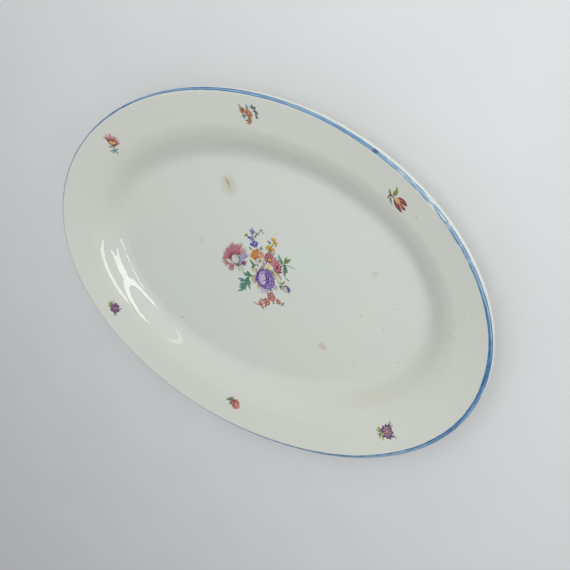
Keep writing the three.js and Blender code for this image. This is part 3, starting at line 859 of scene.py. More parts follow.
def draw_bouquet(sheet):
    bouquet_leaves(sheet)
    bouquet_spray(sheet)
    bouquet_top(sheet)
    bouquet_aster(sheet)
    bouquet_middle(sheet)
    bouquet_peony(sheet)
    bouquet_bud(sheet)


def draw_aster(sheet):
    """A spiky pink flower seen from the side, with two yellow eyes."""
    sheet.strokes_of(GREY_TEAL, LEAF, ((1.8, -3.6), (-3.6, -5.2), 1.3),
                     ((1.6, -4.0), (-2.2, -6.6), 1.0), ((1.8, -4.0), (2.4, -7.2), 1.4),
                     ((2.0, -3.4), (5.2, -2.3), 0.9))
    twig(sheet, [(1.6, -1.0), (1.9, -4.4)], 0.6, DARK_TWIG)
    sheet.stroke((-3.6, -0.7), (2.4, -1.7), 0.9, OLIVE, LEAF, -0.08)
    crown = (1.6, 1.2)
    petal_ring(sheet, crown, 1.6, 7.8, 12, 0.7, PINK, SPIKE, 4, 148)
    petal_ring(sheet, crown, 1.4, 7.2, 11, 0.8, ROSE_RED, SPIKE, 0, 152)
    petal_ring(sheet, crown, 1.0, 6.0, 12, 1.1, ROSE_RED, SPIKE, -8, 160)
    petal_ring(sheet, crown, 0.6, 4.4, 10, 1.1, CRIMSON, SPIKE, -10, 162)
    sheet.strokes_of(MAROON, LEAF, ((-1.8, 4.4), (0.6, -0.6), 1.7), ((-0.2, -0.4), (5.6, 0.7), 1.8),
                     ((-1.2, 3.4), (4.6, 2.6), 2.2))
    for eye in ((0.5, 2.3), (3.0, 1.7)):
        dot(sheet, eye, 1.5, AMBER, 0.85)
        dot(sheet, eye, 0.9, LEMON, 0.8)
    sheet.stroke((1.7, 3.2), (1.9, 0.8), 0.5, BRICK, LEAF)


def draw_orange_spray(sheet):
    """Three small orange flowers on grey and olive twigs."""
    twig(sheet, [(4.2, 6.8), (6.2, 2.6), (5.4, -2.0)], 1.2, TWIG_GREY)
    sheet.strokes_of(TWIG_GREY, LEAF, ((5.6, 3.9), (2.2, 5.5), 1.2), ((5.5, 3.7), (7.3, 5.8), 1.2),
                     ((6.0, 3.2), (7.7, 0.5), 1.2), ((5.7, 0.2), (7.1, -1.8), 1.0),
                     ((6.1, 2.2), (4.0, 2.9), 1.0))
    twig(sheet, [(-5.3, 6.5), (-3.8, 3.6), (0.2, 0.8), (-0.6, -3.0)], 0.7, OLIVE)
    sheet.strokes_of(OLIVE, LEAF, ((-4.0, 4.2), (-5.6, 4.6), 0.9))
    leaf(sheet, (0.8, 3.2), (0.1, 6.9), 1.5, GREY_TEAL)
    leaf(sheet, (-1.4, 0.2), (-5.8, -1.0), 1.5, GREY_TEAL)
    leaf(sheet, (-2.2, 0.0), (-4.4, -2.6), 1.3, GREY_TEAL)
    leaf(sheet, (0.6, -0.2), (1.2, -3.6), 1.8, deeper(GREEN, 0.7))
    petal_ring(sheet, (-3.4, 2.6), 0.1, 2.5, 6, 1.1, APRICOT, PETAL, 30, 250)
    sheet.strokes_of(RUST, LEAF, ((-4.0, 4.0), (-3.2, 2.2), 0.7), ((-2.6, 3.4), (-2.8, 1.4), 0.7))
    petal_ring(sheet, (0.3, 1.2), 0.4, 3.5, 8, 1.5, APRICOT, PETAL, 0, 360, 0.8)
    petal_ring(sheet, (0.3, 1.2), 0.4, 2.8, 7, 0.8, PEACH, PETAL, 20, 360, 0.8)
    sheet.strokes_of(RUST, LEAF, ((-1.8, 1.2), (0.4, 2.6), 0.9), ((0.6, 0.0), (2.8, 0.7), 0.9),
                     ((-0.9, 0.0), (0.8, 1.0), 0.9), ((1.4, 1.6), (3.0, 2.0), 0.5))
    petal_ring(sheet, (-0.9, -3.2), 0.2, 2.5, 6, 1.2, APRICOT, PETAL, 165, 235)
    sheet.strokes_of(PALE_PINK, PETAL, ((-0.9, -3.4), (0.4, -5.0), 0.7),
                     ((-1.0, -3.4), (-2.6, -4.2), 0.7))
    sheet.stroke((-1.8, -2.8), (0.4, -2.6), 0.8, OLIVE, LEAF)


TULIP_OUTER = mixed_ink((130, 42, 44), (104, 22, 36), (68, 12, 28))
TULIP_INNER = mixed_ink((200, 104, 88), (164, 56, 62), (110, 24, 40))
TULIP_CUP = mixed_ink((226, 200, 140), (222, 176, 126), (190, 118, 84))


def draw_tulip(sheet):
    """A dark red tulip, tipped over, with its leaves behind it."""
    leaf(sheet, (-4.0, 2.2), (-4.3, 6.7), 1.8, LIME_OLIVE, 0.12)
    leaf(sheet, (-2.8, 2.4), (1.3, 7.8), 2.6, LIME_OLIVE, -0.08)
    sheet.stroke((0.6, 6.6), (1.0, 9.0), 0.8, OLIVE, LEAF, 0.1)
    leaf(sheet, (-4.6, 1.2), (-4.2, -4.6), 1.8, PALE_TEAL, -0.1)
    twig(sheet, [(-6.4, -0.4), (-6.2, 1.5), (-4.1, 2.2), (-0.8, 0.3)], 0.9, BROWN)
    sheet.stroke((-5.2, 2.6), (-2.4, 1.4), 1.4, BROWN, LEAF)
    sheet.stroke((0.6, 0.4), (4.7, -6.0), 3.0, TULIP_OUTER)
    sheet.stroke((-1.8, 1.2), (2.5, -8.2), 3.5, TULIP_OUTER, LEAF, -0.09)
    sheet.stroke((0.6, 1.6), (6.7, -3.0), 3.0, TULIP_OUTER, LEAF, 0.09)
    sheet.stroke((0.6, 0.0), (4.2, -5.0), 1.7, TULIP_INNER)
    sheet.stroke((-1.4, 0.4), (2.1, -7.0), 2.0, TULIP_INNER, LEAF, -0.07)
    sheet.stroke((1.0, 1.2), (5.9, -2.9), 1.6, TULIP_INNER, LEAF, 0.08)
    sheet.stroke((-1.7, 1.7), (1.9, -2.9), 3.6, TULIP_CUP, LEAF)
    sheet.strokes_of(MAROON, SPIKE, ((0.2, -2.2), (1.8, -6.4), 0.6), ((1.8, -2.0), (3.4, -5.2), 0.6),
                     ((2.6, -0.8), (5.2, -2.9), 0.6))
    sheet.strokes_of(BLUSH, SPIKE, ((1.4, -2.8), (3.2, -6.6), 0.8), ((2.6, -1.8), (5.4, -4.6), 0.8))


def draw_violet(sheet):
    """A dusky plum flower in a fan of olive leaves."""
    sheet.strokes_of(OLIVE_CREAM, LEAF, ((-1.6, 0.2), (-5.5, 2.9), 1.6),
                     ((-1.6, 0.3), (-3.0, 4.7), 1.6), ((-1.0, 0.3), (0.3, 5.0), 1.4),
                     ((-1.6, -0.2), (-6.1, -0.4), 1.4), ((-1.6, -0.6), (-4.4, -2.3), 1.2))
    sheet.strokes_of(OLIVE, LEAF, ((-1.8, 0.6), (-4.2, 2.6), 0.7), ((-1.4, 0.8), (-2.4, 4.0), 0.7),
                     ((-1.6, 0.2), (-4.8, 0.0), 0.6))
    sheet.strokes_of(SLATE, LEAF, ((4.2, -2.7), (8.3, -1.5), 1.1), ((4.4, -2.9), (6.4, -4.4), 0.9))
    twig(sheet, [(1.5, -5.2), (0.2, -9.2)], 0.7, SLATE)
    sheet.stroke((1.0, -6.4), (3.0, -8.4), 0.9, SLATE, LEAF)
    centre = Vector((1.6, -2.1))
    tips = ((1.9, 2.7), (-2.4, 0.3), (-3.0, -4.2), (0.9, -6.8), (4.9, -4.7), (5.0, 0.7))
    sheet.petals_of(DUSKY_PLUM, centre, *[(tip, 3.5) for tip in tips])
    petal_ring(sheet, centre, 0.6, 3.7, 7, 1.3, HEATHER, PETAL, 40)
    petal_ring(sheet, centre, 0.4, 3.9, 9, 0.6, DEEP_PLUM, SPIKE, 10)
    dot(sheet, centre, 1.0, PINK)


def draw_rose(sheet):
    """A coral rose with its leaves to one side."""
    leaf_fan(sheet, (-0.8, 1.8), [(-6.8, 0.9), (-2.4, 5.0), (-3.5, -2.3)], 1.8, OLIVE)
    leaf_fan(sheet, (-0.6, 1.8), [(0.4, 5.4), (-5.2, 3.2)], 1.4, GREY_GREEN)
    centre = (2.5, 0.0)
    petal_ring(sheet, centre, 0.6, 4.4, 8, 2.8, DUSTY_CORAL)
    petal_ring(sheet, centre, 0.4, 3.2, 6, 2.0, BRICK, PETAL, 20)
    sheet.strokes_of(MAROON, LEAF, ((-0.6, 1.4), (2.2, 2.9), 1.1), ((-0.8, 0.6), (0.4, -2.4), 0.9),
                     ((3.7, 1.8), (4.4, -1.4), 0.8))
    sheet.stroke((2.8, 2.2), (1.8, -3.2), 1.1, BLUSH, LEAF, 0.2)
    sheet.stroke((4.8, 1.2), (4.0, -3.0), 0.8, BLUSH, LEAF, 0.16)
    sheet.stroke((0.8, 1.6), (0.6, -2.0), 0.7, BLUSH, LEAF, -0.16)
    sheet.stroke((2.0, 1.6), (2.4, -1.8), 0.8, MAROON, LEAF, -0.2)


def draw_daisy(sheet):
    """A plum daisy with a peach heart, set in lime leaves."""
    sheet.strokes_of(LIME_OLIVE, LEAF, ((-3.6, -3.0), (-6.9, -0.7), 1.2),
                     ((-3.8, -3.4), (-8.3, -3.6), 1.1), ((-3.6, -3.6), (-6.8, -6.2), 1.0),
                     ((-3.2, -3.6), (-4.9, -8.2), 1.2), ((-2.4, -4.2), (-1.8, -8.4), 1.2),
                     ((-5.2, -2.0), (-7.8, -1.8), 0.7))
    sheet.strokes_of(OLIVE, SPIKE, ((-3.2, -3.2), (-6.2, -2.2), 0.5), ((-3.2, -3.8), (-5.2, -6.6), 0.5))
    sheet.strokes_of(PALE_TEAL, LEAF, ((2.0, 2.6), (1.2, 7.6), 1.2), ((2.0, 2.8), (-0.4, 5.2), 0.9),
                     ((2.2, 2.6), (4.0, 5.4), 0.9))
    twig(sheet, [(3.8, 0.6), (5.6, -0.8), (8.1, -2.3)], 0.6, SLATE)
    sheet.stroke((5.6, -0.8), (5.6, -3.0), 0.8, SLATE, LEAF)
    centre = (0.3, -1.0)
    petal_ring(sheet, centre, 0.9, 4.9, 11, 2.0, PLUM)
    petal_ring(sheet, centre, 0.9, 3.8, 11, 0.8, HEATHER)
    petal_ring(sheet, centre, 0.9, 2.9, 11, 0.45, PALE_PINK)
    petal_ring(sheet, centre, 0.6, 3.4, 11, 0.4, DEEP_PLUM, SPIKE, 16)
    dot(sheet, centre, 1.2, MAROON, 0.9)
    sheet.stroke((-0.6, -0.2), (1.1, -1.9), 1.5, PEACH, LEAF)
    dot(sheet, (0.2, -0.9), 0.5, CREAM)


# Each rim print's place: its angle round the dish and its share of the way across the rim from the edge,
# and the size that it was printed at
RimPrint = namedtuple("RimPrint", "flower around across size draw")
RIM_PRINTS = [
    RimPrint("tulip", 42, 0.79, 0.9, draw_tulip),
    RimPrint("orange_spray", 81.6, 0.66, 1.0, draw_orange_spray),
    RimPrint("aster", 130.3, 0.75, 1.0, draw_aster),
    RimPrint("violet", 208, 0.76, 1.0, draw_violet),
    RimPrint("rose", 262.4, 0.83, 1.0, draw_rose),
    RimPrint("daisy", 314.6, 0.76, 1.0, draw_daisy),
]


def rim_print_middle(around, inset):
    angle = math.radians(around)
    return Vector(((HALF_LENGTH - inset) * math.cos(angle), (HALF_WIDTH - inset) * math.sin(angle)))


def feed(tree, socket, value):
    """Links an input to another node's output, or sets it to a plain value."""
    if isinstance(value, bpy.types.NodeSocket):
        tree.links.new(value, socket)
    else:
        socket.default_value = value


def add_node(tree, kind, **values):
    """A shader node with its inputs and settings filled in by name."""
    node = tree.nodes.new(kind)
    for name, value in values.items():
        socket = next((s for s in node.inputs if s.name.replace(" ", "_") == name and s.enabled), None)
        if socket is None:
            setattr(node, name, value)
        else:
            feed(tree, socket, value)
    return node


def new_group(name, inputs, outputs):
    """An empty shader node group, with its named sockets as (kind, name) pairs."""
    tree = bpy.data.node_groups.new(name, "ShaderNodeTree")
    for kind, label in inputs:
        tree.interface.new_socket(label, in_out="INPUT", socket_type="NodeSocket" + kind)
    for kind, label in outputs:
        tree.interface.new_socket(label, in_out="OUTPUT", socket_type="NodeSocket" + kind)
    return tree, tree.nodes.new("NodeGroupInput").outputs, tree.nodes.new("NodeGroupOutput").inputs


def place_group(tree, group, **values):
    node = tree.nodes.new("ShaderNodeGroup")
    node.node_tree = group
    for name, value in values.items():
        feed(tree, node.inputs[name.replace("_", " ")], value)
    return node.outputs


def sum_node(tree, kind, operation, *values):
    """A node that works something out from its inputs, which are fed in order."""
    node = tree.nodes.new(kind)
    node.operation = operation
    for socket, value in zip(node.inputs, values):
        feed(tree, socket, value)
    return node


def math_node(tree, operation, *values):
    return sum_node(tree, "ShaderNodeMath", operation, *values).outputs[0]


def vector_node(tree, operation, *values):
    return sum_node(tree, "ShaderNodeVectorMath", operation, *values)


def mix_colours(tree, share, first, second):
    node = tree.nodes.new("ShaderNodeMix")
    node.data_type = "RGBA"
    for name, value in (("Factor_Float", share), ("A_Color", first), ("B_Color", second)):
        feed(tree, next(s for s in node.inputs if s.identifier == name), value)
    return next(s for s in node.outputs if s.identifier == "Result_Color")


def rgba(colour):
    return (*colour, 1.0)


def tinted(tree, colour, mask, strength, tint):
    """The colour with a tint over it where the mask shows, at a strength."""
    share = math_node(tree, "MULTIPLY", mask, strength)
    return mix_colours(tree, share, colour, rgba(tint))


def patches(tree, place, scale, detail=2.0):
    """Soft noise, whose scale counts its patches to the metre."""
    return add_node(tree, "ShaderNodeTexNoise", Vector=place, Scale=scale, Detail=detail).outputs[0]


def fade(tree, value, low, high):
    """A share that runs from 0 at the low value to 1 at the high one."""
    node = add_node(tree, "ShaderNodeMapRange", Value=value, From_Min=low, From_Max=high)
    node.interpolation_type = "SMOOTHSTEP"
    return node.outputs["Result"]


# Shared by the materials: how much coarser an enamel's broad unevenness is than its grain, its gloss,
# and the fineness of a mark's ragged edge and the share of its reach that it fills fully
COARSE_GRAIN = 0.22
ENAMEL_GLOSS = (0.16, 0.34)
RAGGED_SCALE = 420.0
MARK_CORE = 0.2


def enamel_grain_group():
    """Fine unevenness of fired enamel: its colour thins and thickens, and its gloss with it."""
    sockets_in = [("Color", "Colour"), ("Vector", "Place"), ("Float", "Grain Size"), ("Float", "Depth")]
    sockets_out = [("Color", "Colour"), ("Float", "Roughness"), ("Float", "Height")]
    tree, given, wanted = new_group("enamel_grain", sockets_in, sockets_out)
    scale = math_node(tree, "DIVIDE", 1.0, given["Grain Size"])
    fine = patches(tree, given["Place"], scale, detail=3.0)
    coarse = patches(tree, given["Place"], math_node(tree, "MULTIPLY", scale, COARSE_GRAIN))
    both = math_node(tree, "ADD", fine, coarse)
    swing = math_node(tree, "SUBTRACT", both, 1.0)
    level = math_node(tree, "MULTIPLY_ADD", swing, given["Depth"], 1.0)
    shaded = vector_node(tree, "SCALE", given["Colour"])
    tree.links.new(level, shaded.inputs["Scale"])
    tree.links.new(shaded.outputs[0], wanted["Colour"])
    rough = add_node(tree, "ShaderNodeMapRange", Value=fine, To_Min=ENAMEL_GLOSS[0], To_Max=ENAMEL_GLOSS[1])
    tree.links.new(rough.outputs["Result"], wanted["Roughness"])
    tree.links.new(fine, wanted["Height"])
    return tree


def soft_spot_group():
    """A soft-edged oval mark at a place on the glaze, seen from above."""
    sockets_in = [("Vector", "Place"), ("Vector", "Centre"), ("Vector", "Turn"), ("Vector", "Reach"),
                  ("Float", "Ragged")]
    tree, given, wanted = new_group("soft_spot", sockets_in, [("Float", "Mask")])
    wobble = patches(tree, given["Place"], RAGGED_SCALE)
    centred = vector_node(tree, "SUBTRACT", given["Place"], given["Centre"])
    turned = add_node(tree, "ShaderNodeVectorRotate", rotation_type="EULER_XYZ", Vector=centred.outputs[0])
    tree.links.new(given["Turn"], turned.inputs["Rotation"])
    scaled = vector_node(tree, "DIVIDE", turned.outputs[0], given["Reach"])
    length = vector_node(tree, "LENGTH", scaled.outputs[0])
    swing = math_node(tree, "SUBTRACT", wobble, 0.5)
    ragged = math_node(tree, "MULTIPLY", swing, given["Ragged"])
    distance = math_node(tree, "ADD", length.outputs["Value"], ragged)
    tree.links.new(fade(tree, distance, 1.0, MARK_CORE), wanted["Mask"])
    return tree


ENAMEL_GRAIN = enamel_grain_group()
SOFT_SPOT = soft_spot_group()


def new_material(name):
    """A new material with its nodes, its shader and the place on the piece that they work from."""
    material = bpy.data.materials.new(name)
    material.use_nodes = True
    tree = material.node_tree
    place = tree.nodes.new("ShaderNodeTexCoord").outputs["Object"]
    return material, tree, tree.nodes["Principled BSDF"], place


def bump(tree, height, depth, shader):
    """Raises the surface by the height's swing times a depth in metres."""
    node = add_node(tree, "ShaderNodeBump", Height=height, Distance=depth, Strength=1.0)
    tree.links.new(node.outputs["Normal"], shader.inputs["Normal"])


# Marks of use on the glaze: centre and half sizes in millimetres, turn in degrees, colour and strength
Mark = namedtuple("Mark", "centre reach turn colour strength")
SHALLOW_MARK = 3.0  # marks fade out this far below the glaze, or at this share of their length
MARK_DEPTH_SHARE = 0.4
GREY_PIT = pigment(118, 116, 108)
TAN_STAIN = pigment(196, 184, 150)
MARKS = [
    Mark((-13.8, 61.5), (9.5, 10.5), 0, TAN_STAIN, 0.5),
    Mark((-14.4, 63.4), (0.9, 4.6), 28, pigment(128, 110, 78), 0.8),
    Mark((53.7, -44.4), (4.6, 4.0), 0, pigment(182, 162, 130), 0.45),
    Mark((94.2, 18.8), (4.0, 3.0), 20, TAN_STAIN, 0.35),
    Mark((-46.5, 16.1), (4.0, 3.0), 0, TAN_STAIN, 0.3),
    Mark((-47.5, 97.3), (1.1, 0.9), 0, GREY_PIT, 1.0),
    Mark((147.6, -1.3), (1.1, 0.8), 0, GREY_PIT, 1.0),
    Mark((-79.0, -56.4), (1.0, 0.8), 0, GREY_PIT, 0.95),
    Mark((128.2, 66.2), (1.0, 0.8), 0, GREY_PIT, 0.95),
    Mark((161.3, 17.2), (0.9, 0.8), 0, GREY_PIT, 0.95),
    Mark((95.4, -67.3), (40.0, 10.0), 32, pigment(208, 202, 172), 0.3),
    Mark((23.0, 32.3), (3.4, 2.4), 30, pigment(222, 196, 168), 0.4),
    Mark((-2.4, 31.5), (3.0, 2.4), 0, pigment(218, 208, 170), 0.3),
]
FAINT_SPECKS = [(84.0, -12.7), (109.4, -1.5), (99.4, -18.6), (75.1, -34.1), (78.0, -49.7), (109.8, -39.4),
                (-70.4, 100.4), (-13.3, 123.0)]
MARKS += [Mark(speck, (0.8, 0.7), 0, GREY_PIT, 0.5) for speck in FAINT_SPECKS]

# The glaze: the two tones that it drifts between, its tone up the wall where it is thinner, its fine
# grain, its specks, its gloss and ripple, and the bare foot. A scale counts patches to the metre.
GLAZE_COOL = pigment(216, 222, 215)
GLAZE_WARM = pigment(218, 222, 213)
GLAZE_THIN = pigment(219, 221, 210)
GLAZE_GRAIN = pigment(190, 188, 176)
DRIFT_SCALE = 9.0
DRIFT_SPAN = (0.3, 0.7)
THIN_STRENGTH = 0.6
GRAIN_SCALE = 700.0
GRAIN_SPAN = (0.62, 0.8)
GRAIN_STRENGTH = 0.12
SPECK_SCALE = 55.0
SPECK_EDGE = (0.035, 0.015)
SPECK_RARITY = 0.86
SPECK_STRENGTH = 0.55
MARK_RAGGED = 0.5
GLOSS_SCALE = 30.0
GLAZE_GLOSS = (0.02, 0.05)
RIPPLE_SCALE = 120.0
RIPPLE_DEPTH = 0.012
BARE_CLAY = pigment(208, 198, 178)
BARE_BELOW = (0.9, 0.35)  # the foot is wiped bare between these heights and below them
BARE_ROUGHNESS = 0.85


def cream_glaze():
    """Cream-white body under a clear glaze, with its slow drift of tone, specks, stains and bare foot."""
    material, tree, shader, place = new_material("cream_glaze")
    drift = patches(tree, place, DRIFT_SCALE)
    colour = mix_colours(tree, fade(tree, drift, *DRIFT_SPAN), rgba(GLAZE_COOL), rgba(GLAZE_WARM))
    grain = fade(tree, patches(tree, place, GRAIN_SCALE), *GRAIN_SPAN)
    colour = tinted(tree, colour, grain, GRAIN_STRENGTH, GLAZE_GRAIN)
    cells = add_node(tree, "ShaderNodeTexVoronoi", Vector=place, Scale=SPECK_SCALE)
    speck = fade(tree, cells.outputs["Distance"], *SPECK_EDGE)
    chosen = add_node(tree, "ShaderNodeSeparateColor", Color=cells.outputs["Color"])
    rare = math_node(tree, "GREATER_THAN", chosen.outputs[0], SPECK_RARITY)
    colour = tinted(tree, colour, math_node(tree, "MULTIPLY", speck, rare), SPECK_STRENGTH, GREY_PIT)
    for mark in MARKS:
        centre = (mark.centre[0] * MM, mark.centre[1] * MM, glaze_height(*mark.centre) * MM)
        depth = max(SHALLOW_MARK, MARK_DEPTH_SHARE * max(mark.reach))
        reach = (mark.reach[0] * MM, mark.reach[1] * MM, depth * MM)
        turn = (0.0, 0.0, -math.radians(mark.turn))
        spot = place_group(tree, SOFT_SPOT, Place=place, Centre=centre, Turn=turn, Reach=reach,
                           Ragged=MARK_RAGGED)
        colour = tinted(tree, colour, spot["Mask"], mark.strength, mark.colour)
    height = add_node(tree, "ShaderNodeSeparateXYZ", Vector=place).outputs["Z"]
    up_the_wall = fade(tree, height, FLOOR_HEIGHT * MM, WALL_TOP_HEIGHT * MM)
    colour = tinted(tree, colour, up_the_wall, THIN_STRENGTH, GLAZE_THIN)
    bare = fade(tree, height, BARE_BELOW[0] * MM, BARE_BELOW[1] * MM)
    colour = mix_colours(tree, bare, colour, rgba(BARE_CLAY))
    tree.links.new(colour, shader.inputs["Base Color"])
    sheen = patches(tree, place, GLOSS_SCALE, detail=3.0)
    gloss = add_node(tree, "ShaderNodeMapRange", Value=sheen, To_Min=GLAZE_GLOSS[0], To_Max=GLAZE_GLOSS[1])
    unglazed = math_node(tree, "MULTIPLY", bare, BARE_ROUGHNESS)
    rough = math_node(tree, "MAXIMUM", gloss.outputs["Result"], unglazed)
    tree.links.new(rough, shader.inputs["Roughness"])
    ripple = patches(tree, place, RIPPLE_SCALE, detail=1.0)
    bump(tree, ripple, RIPPLE_DEPTH * MM, shader)
    return material


def fire_enamel(tree, shader, place, colour, grain_size, grain_depth, relief):
    """Gives an enamel of this colour its grain, its gloss and its slight relief."""
    grain = place_group(tree, ENAMEL_GRAIN, Colour=colour, Place=place, Grain_Size=grain_size * MM,
                        Depth=grain_depth)
    tree.links.new(grain["Colour"], shader.inputs["Base Color"])
    tree.links.new(grain["Roughness"], shader.inputs["Roughness"])
    bump(tree, grain["Height"], relief * MM, shader)


# Print enamel: how coarsely it breaks up and how far the glaze shows through, its grain and its relief
BREAK_SIZE = 0.9
BREAK_SPAN = (0.45, 0.7)
BREAK_STRENGTH = 0.1
SHOWING_GLAZE = pigment(212, 217, 209)
PRINT_GRAIN_SIZE = 0.45
PRINT_GRAIN_DEPTH = 0.35
PRINT_RELIEF = 0.01


def print_enamel(name):
    """Print colours fired on to the glaze, a little uneven and less glossy than it."""
    material, tree, shader, place = new_material(name)
    colour = add_node(tree, "ShaderNodeVertexColor", layer_name="enamel_colour").outputs["Color"]
    breaks = fade(tree, patches(tree, place, 1 / (BREAK_SIZE * MM)), *BREAK_SPAN)
    colour = tinted(tree, colour, breaks, BREAK_STRENGTH, SHOWING_GLAZE)
    fire_enamel(tree, shader, place, colour, PRINT_GRAIN_SIZE, PRINT_GRAIN_DEPTH, PRINT_RELIEF)
    return material


# Blues of the rim line, the glaze that shows where it is worn, and how strongly each place tells
LINE_DEEP = pigment(42, 92, 142)
LINE_CLEAR = pigment(80, 132, 180)
LINE_PALE = pigment(158, 188, 208)
LINE_BLOB = pigment(38, 66, 110)
LINE_WORN = pigment(214, 219, 213)
STREAK_SCALE = (26.0, 26.0, 5.0)  # long round the dish, short across the line
STREAK_SPAN = (0.35, 0.65)
SLOW_SCALE = 2.6
PARTED_AT = 0.45  # where across it the enamel parts and lies pale
PARTED_EDGE = (0.3, 0.1)
PARTED_SPAN = (0.36, 0.56)
PARTED_STRENGTH = 0.8
THIN_LINE_SPAN = (1.05, 1.3)
THIN_LINE_STRENGTH = 0.7
CHIPPED_SPAN = (0.52, 0.6)
PALE_STRENGTH = 0.35
BLOB_STRENGTH = 0.8
LINE_GRAIN_SIZE = 0.6
LINE_GRAIN_DEPTH = 0.25
LINE_RELIEF = 0.012
WHOLE_BREADTH = 9.0  # a reach across the line that takes in all of it

# The worn and pale stretches of the rim line and the blob where the brush was lifted: the angle round
# the dish of each, and its reach as a share of the dish's half length
LineStretch = namedtuple("LineStretch", "around reach ragged")
WORN_STRETCH = LineStretch(35, 0.36, 0.0)
BRUSH_BLOB = LineStretch(52, 0.015, 0.4)
PALE_STRETCH = LineStretch(50, 0.8, 0.0)


def stretch_mask(tree, band, stretch):
    """How far a place on the rim line lies within one of its stretches."""
    angle = math.radians(stretch.around)
    spot = place_group(tree, SOFT_SPOT, Place=band, Centre=(math.cos(angle), math.sin(angle), 0.5),
                       Turn=(0.0, 0.0, 0.0), Reach=(stretch.reach, stretch.reach, WHOLE_BREADTH),
                       Ragged=stretch.ragged)
    return spot["Mask"]


def line_enamel():
    """Blue enamel banded on by hand: pale between two darker edges, thin stretches and worn places."""
    material, tree, shader, place = new_material("blue_line")
    band = add_node(tree, "ShaderNodeAttribute", attribute_name="band").outputs["Vector"]
    stretched = add_node(tree, "ShaderNodeMapping", Vector=band, Scale=STREAK_SCALE)
    streak = patches(tree, stretched.outputs["Vector"], scale=1.0, detail=3.0)
    slow = patches(tree, band, SLOW_SCALE, detail=1.0)
    colour = mix_colours(tree, fade(tree, streak, *STREAK_SPAN), rgba(LINE_DEEP), rgba(LINE_CLEAR))
    across = add_node(tree, "ShaderNodeSeparateXYZ", Vector=band).outputs["Z"]
    off_middle = math_node(tree, "ABSOLUTE", math_node(tree, "SUBTRACT", across, PARTED_AT))
    parted = math_node(tree, "MULTIPLY", fade(tree, off_middle, *PARTED_EDGE),
                       fade(tree, slow, *PARTED_SPAN))
    colour = tinted(tree, colour, parted, PARTED_STRENGTH, LINE_PALE)
    thin = fade(tree, math_node(tree, "ADD", streak, slow), *THIN_LINE_SPAN)
    colour = tinted(tree, colour, thin, THIN_LINE_STRENGTH, LINE_PALE)
    colour = tinted(tree, colour, stretch_mask(tree, band, PALE_STRETCH), PALE_STRENGTH, LINE_PALE)
    worn = stretch_mask(tree, band, WORN_STRETCH)
    chipped = math_node(tree, "MULTIPLY", worn, fade(tree, streak, *CHIPPED_SPAN))
    colour = mix_colours(tree, chipped, colour, rgba(LINE_WORN))
    colour = tinted(tree, colour, stretch_mask(tree, band, BRUSH_BLOB), BLOB_STRENGTH, LINE_BLOB)
    fire_enamel(tree, shader, place, colour, LINE_GRAIN_SIZE, LINE_GRAIN_DEPTH, LINE_RELIEF)
    return material


def make_prints():
    sheets = [(Print("bouquet_flowers", BOUQUET_MIDDLE), draw_bouquet, "bouquet")]
    for place in RIM_PRINTS:
        middle = rim_print_middle(place.around, place.across * RIM_BREADTH)
        sheets.append((Print(place.flower + "_flowers", middle, place.size), place.draw, place.flower))
    for sheet, draw, flower in sheets:
        draw(sheet)
        enamel = print_enamel(flower + "_colours")
        stand_in(sheet.finish(), flower + "_print", enamel)


# The camera, where it stood when the photograph was taken, in metres in the dish's frame
PHOTO_PIXELS = 570
FOCAL_PIXELS = 620
SENSOR_WIDTH = 36.0
CLIP_START = 0.01
CAMERA_PLACE = Vector((0.25257, 0.18127, 0.30752))
CAMERA_RIGHT = Vector((0.81594, -0.07301, -0.57351))
CAMERA_UP = Vector((-0.20196, 0.8935, -0.40108))


def make_camera():
    data = bpy.data.cameras.new("photo_camera")
    data.sensor_width = SENSOR_WIDTH
    data.lens = SENSOR_WIDTH * FOCAL_PIXELS / PHOTO_PIXELS
    data.clip_start = CLIP_START
    camera = bpy.data.objects.new("photo_camera", data)
    bpy.context.scene.collection.objects.link(camera)
    axes = Matrix((CAMERA_RIGHT, CAMERA_UP, CAMERA_RIGHT.cross(CAMERA_UP))).transposed()
    camera.matrix_world = Matrix.Translation(CAMERA_PLACE) @ axes.to_4x4()
    bpy.context.scene.camera = camera


WHITE_LIGHT = (1.0, 1.0, 1.0)
STRIP_HEIGHT = 1.13  # of the lamps that show as gleams, in metres


def soft_lamp(name, place, aim, width, length, power, colour=WHITE_LIGHT):
    data = bpy.data.lights.new(name, "AREA")
    data.shape = "RECTANGLE"
    data.size = width
    data.size_y = length
    data.energy = power
    data.color = colour
    lamp = bpy.data.objects.new(name, data)
    bpy.context.scene.collection.objects.link(lamp)
    lamp.location = place
    lamp.rotation_mode = "QUATERNION"
    lamp.rotation_quaternion = (Vector(aim) - Vector(place)).to_track_quat("-Z", "Y")
    return lamp


def gleam_strip(name, start, end, width, glow, colour=WHITE_LIGHT):
    """A narrow lamp facing down, which shows only as a gleam in the glaze."""
    start, end = Vector((*start, STRIP_HEIGHT)), Vector((*end, STRIP_HEIGHT))
    along = end - start
    middle = (start + end) / 2
    power = glow * math.pi * width * along.length
    below = middle - Vector((0, 0, STRIP_HEIGHT))
    lamp = soft_lamp(name, middle, below, width, along.length, power, colour)
    lamp.rotation_mode = "XYZ"
    lamp.rotation_euler = (0, 0, math.atan2(along.y, along.x) - math.pi / 2)
    lamp.visible_diffuse = False


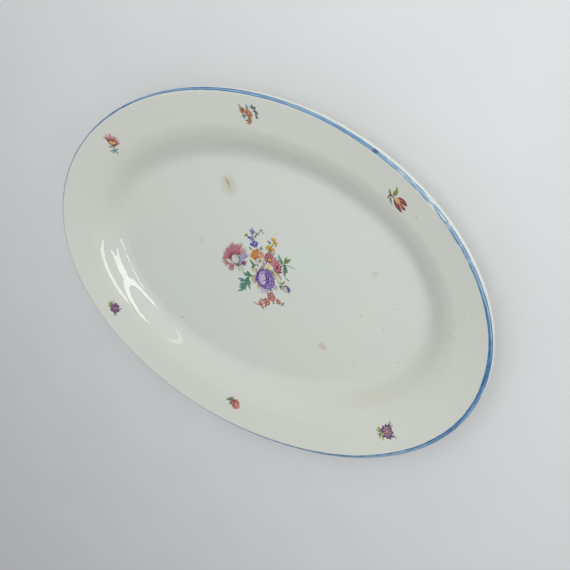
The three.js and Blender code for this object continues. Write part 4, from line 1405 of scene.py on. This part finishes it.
# The window frame overhead, whose sides gleam in the far wall of the well: the ends of each stretch of
# it in metres, its width and its brightness
WINDOW_SIDES = {
    "window_left_far": ((0.2, -0.505), (0.04, -0.33), 0.06, 5.5),
    "window_left_middle": ((0.05, -0.34), (-0.01, -0.09), 0.08, 5.5),
    "window_left_near": ((-0.005, -0.1), (-0.085, 0.15), 0.08, 6.0),
    "window_right_far": ((0.545, -0.345), (0.585, -0.19), 0.04, 6.5),
    "window_right_middle": ((0.588, -0.19), (0.565, -0.02), 0.05, 6.5),
    "window_right_near": ((0.568, -0.03), (0.47, 0.27), 0.07, 7.0),
    "window_head": ((0.485, 0.31), (-0.16, 0.32), 0.14, 7.0),
}
ROOM_LAMP = ((-0.243, 0.53), (-0.263, 0.87), 0.05, 2.5)
ROOM_LAMP_COLOUR = (1.0, 0.88, 0.72)

# The floor, the sky and the soft light from the window, with places and sizes in metres
FLOOR_SIZE = 8.0
FLOOR_TONES = (pigment(222, 223, 225), pigment(230, 231, 232))
FLOOR_MOTTLE_SCALE = 14.0
FLOOR_ROUGHNESS = 0.85
SKY_COLOUR = (0.97, 0.99, 1.0, 1.0)
SKY_STRENGTH = 0.475
WINDOW_LIGHT_PLACE = (0.45, 0.5, 0.68)
WINDOW_LIGHT_AIM = (0.05, 0, 0)
WINDOW_LIGHT_SIZE = 0.7
WINDOW_LIGHT_POWER = 5.15


def make_stage():
    """A plain pale floor, a soft sky and soft lamps."""
    half = FLOOR_SIZE / 2
    corners = ((-half, -half), (half, -half), (half, half), (-half, half))
    floor = mesh_piece("floor", [Vector((x, y, 0)) / MM for x, y in corners], [(0, 1, 2, 3)])
    material, tree, shader, place = new_material("pale_floor")
    mottle = patches(tree, place, FLOOR_MOTTLE_SCALE, detail=4.0)
    colour = mix_colours(tree, mottle, rgba(FLOOR_TONES[0]), rgba(FLOOR_TONES[1]))
    tree.links.new(colour, shader.inputs["Base Color"])
    shader.inputs["Roughness"].default_value = FLOOR_ROUGHNESS
    floor.data.materials.append(material)

    world = bpy.data.worlds.new("soft_sky")
    bpy.context.scene.world = world
    world.use_nodes = True
    sky = world.node_tree.nodes["Background"]
    sky.inputs["Color"].default_value = SKY_COLOUR
    sky.inputs["Strength"].default_value = SKY_STRENGTH

    key = soft_lamp("window_light", WINDOW_LIGHT_PLACE, WINDOW_LIGHT_AIM, WINDOW_LIGHT_SIZE,
                    WINDOW_LIGHT_SIZE, WINDOW_LIGHT_POWER)
    key.visible_glossy = False
    for name, side in WINDOW_SIDES.items():
        gleam_strip(name, *side)
    gleam_strip("room_lamp", *ROOM_LAMP, ROOM_LAMP_COLOUR)


stand_in(make_body(), "dish_body", cream_glaze())
stand_in(make_rim_line(), "rim_line", line_enamel())
make_prints()
make_camera()
make_stage()
bpy.context.scene.view_settings.view_transform = "Standard"
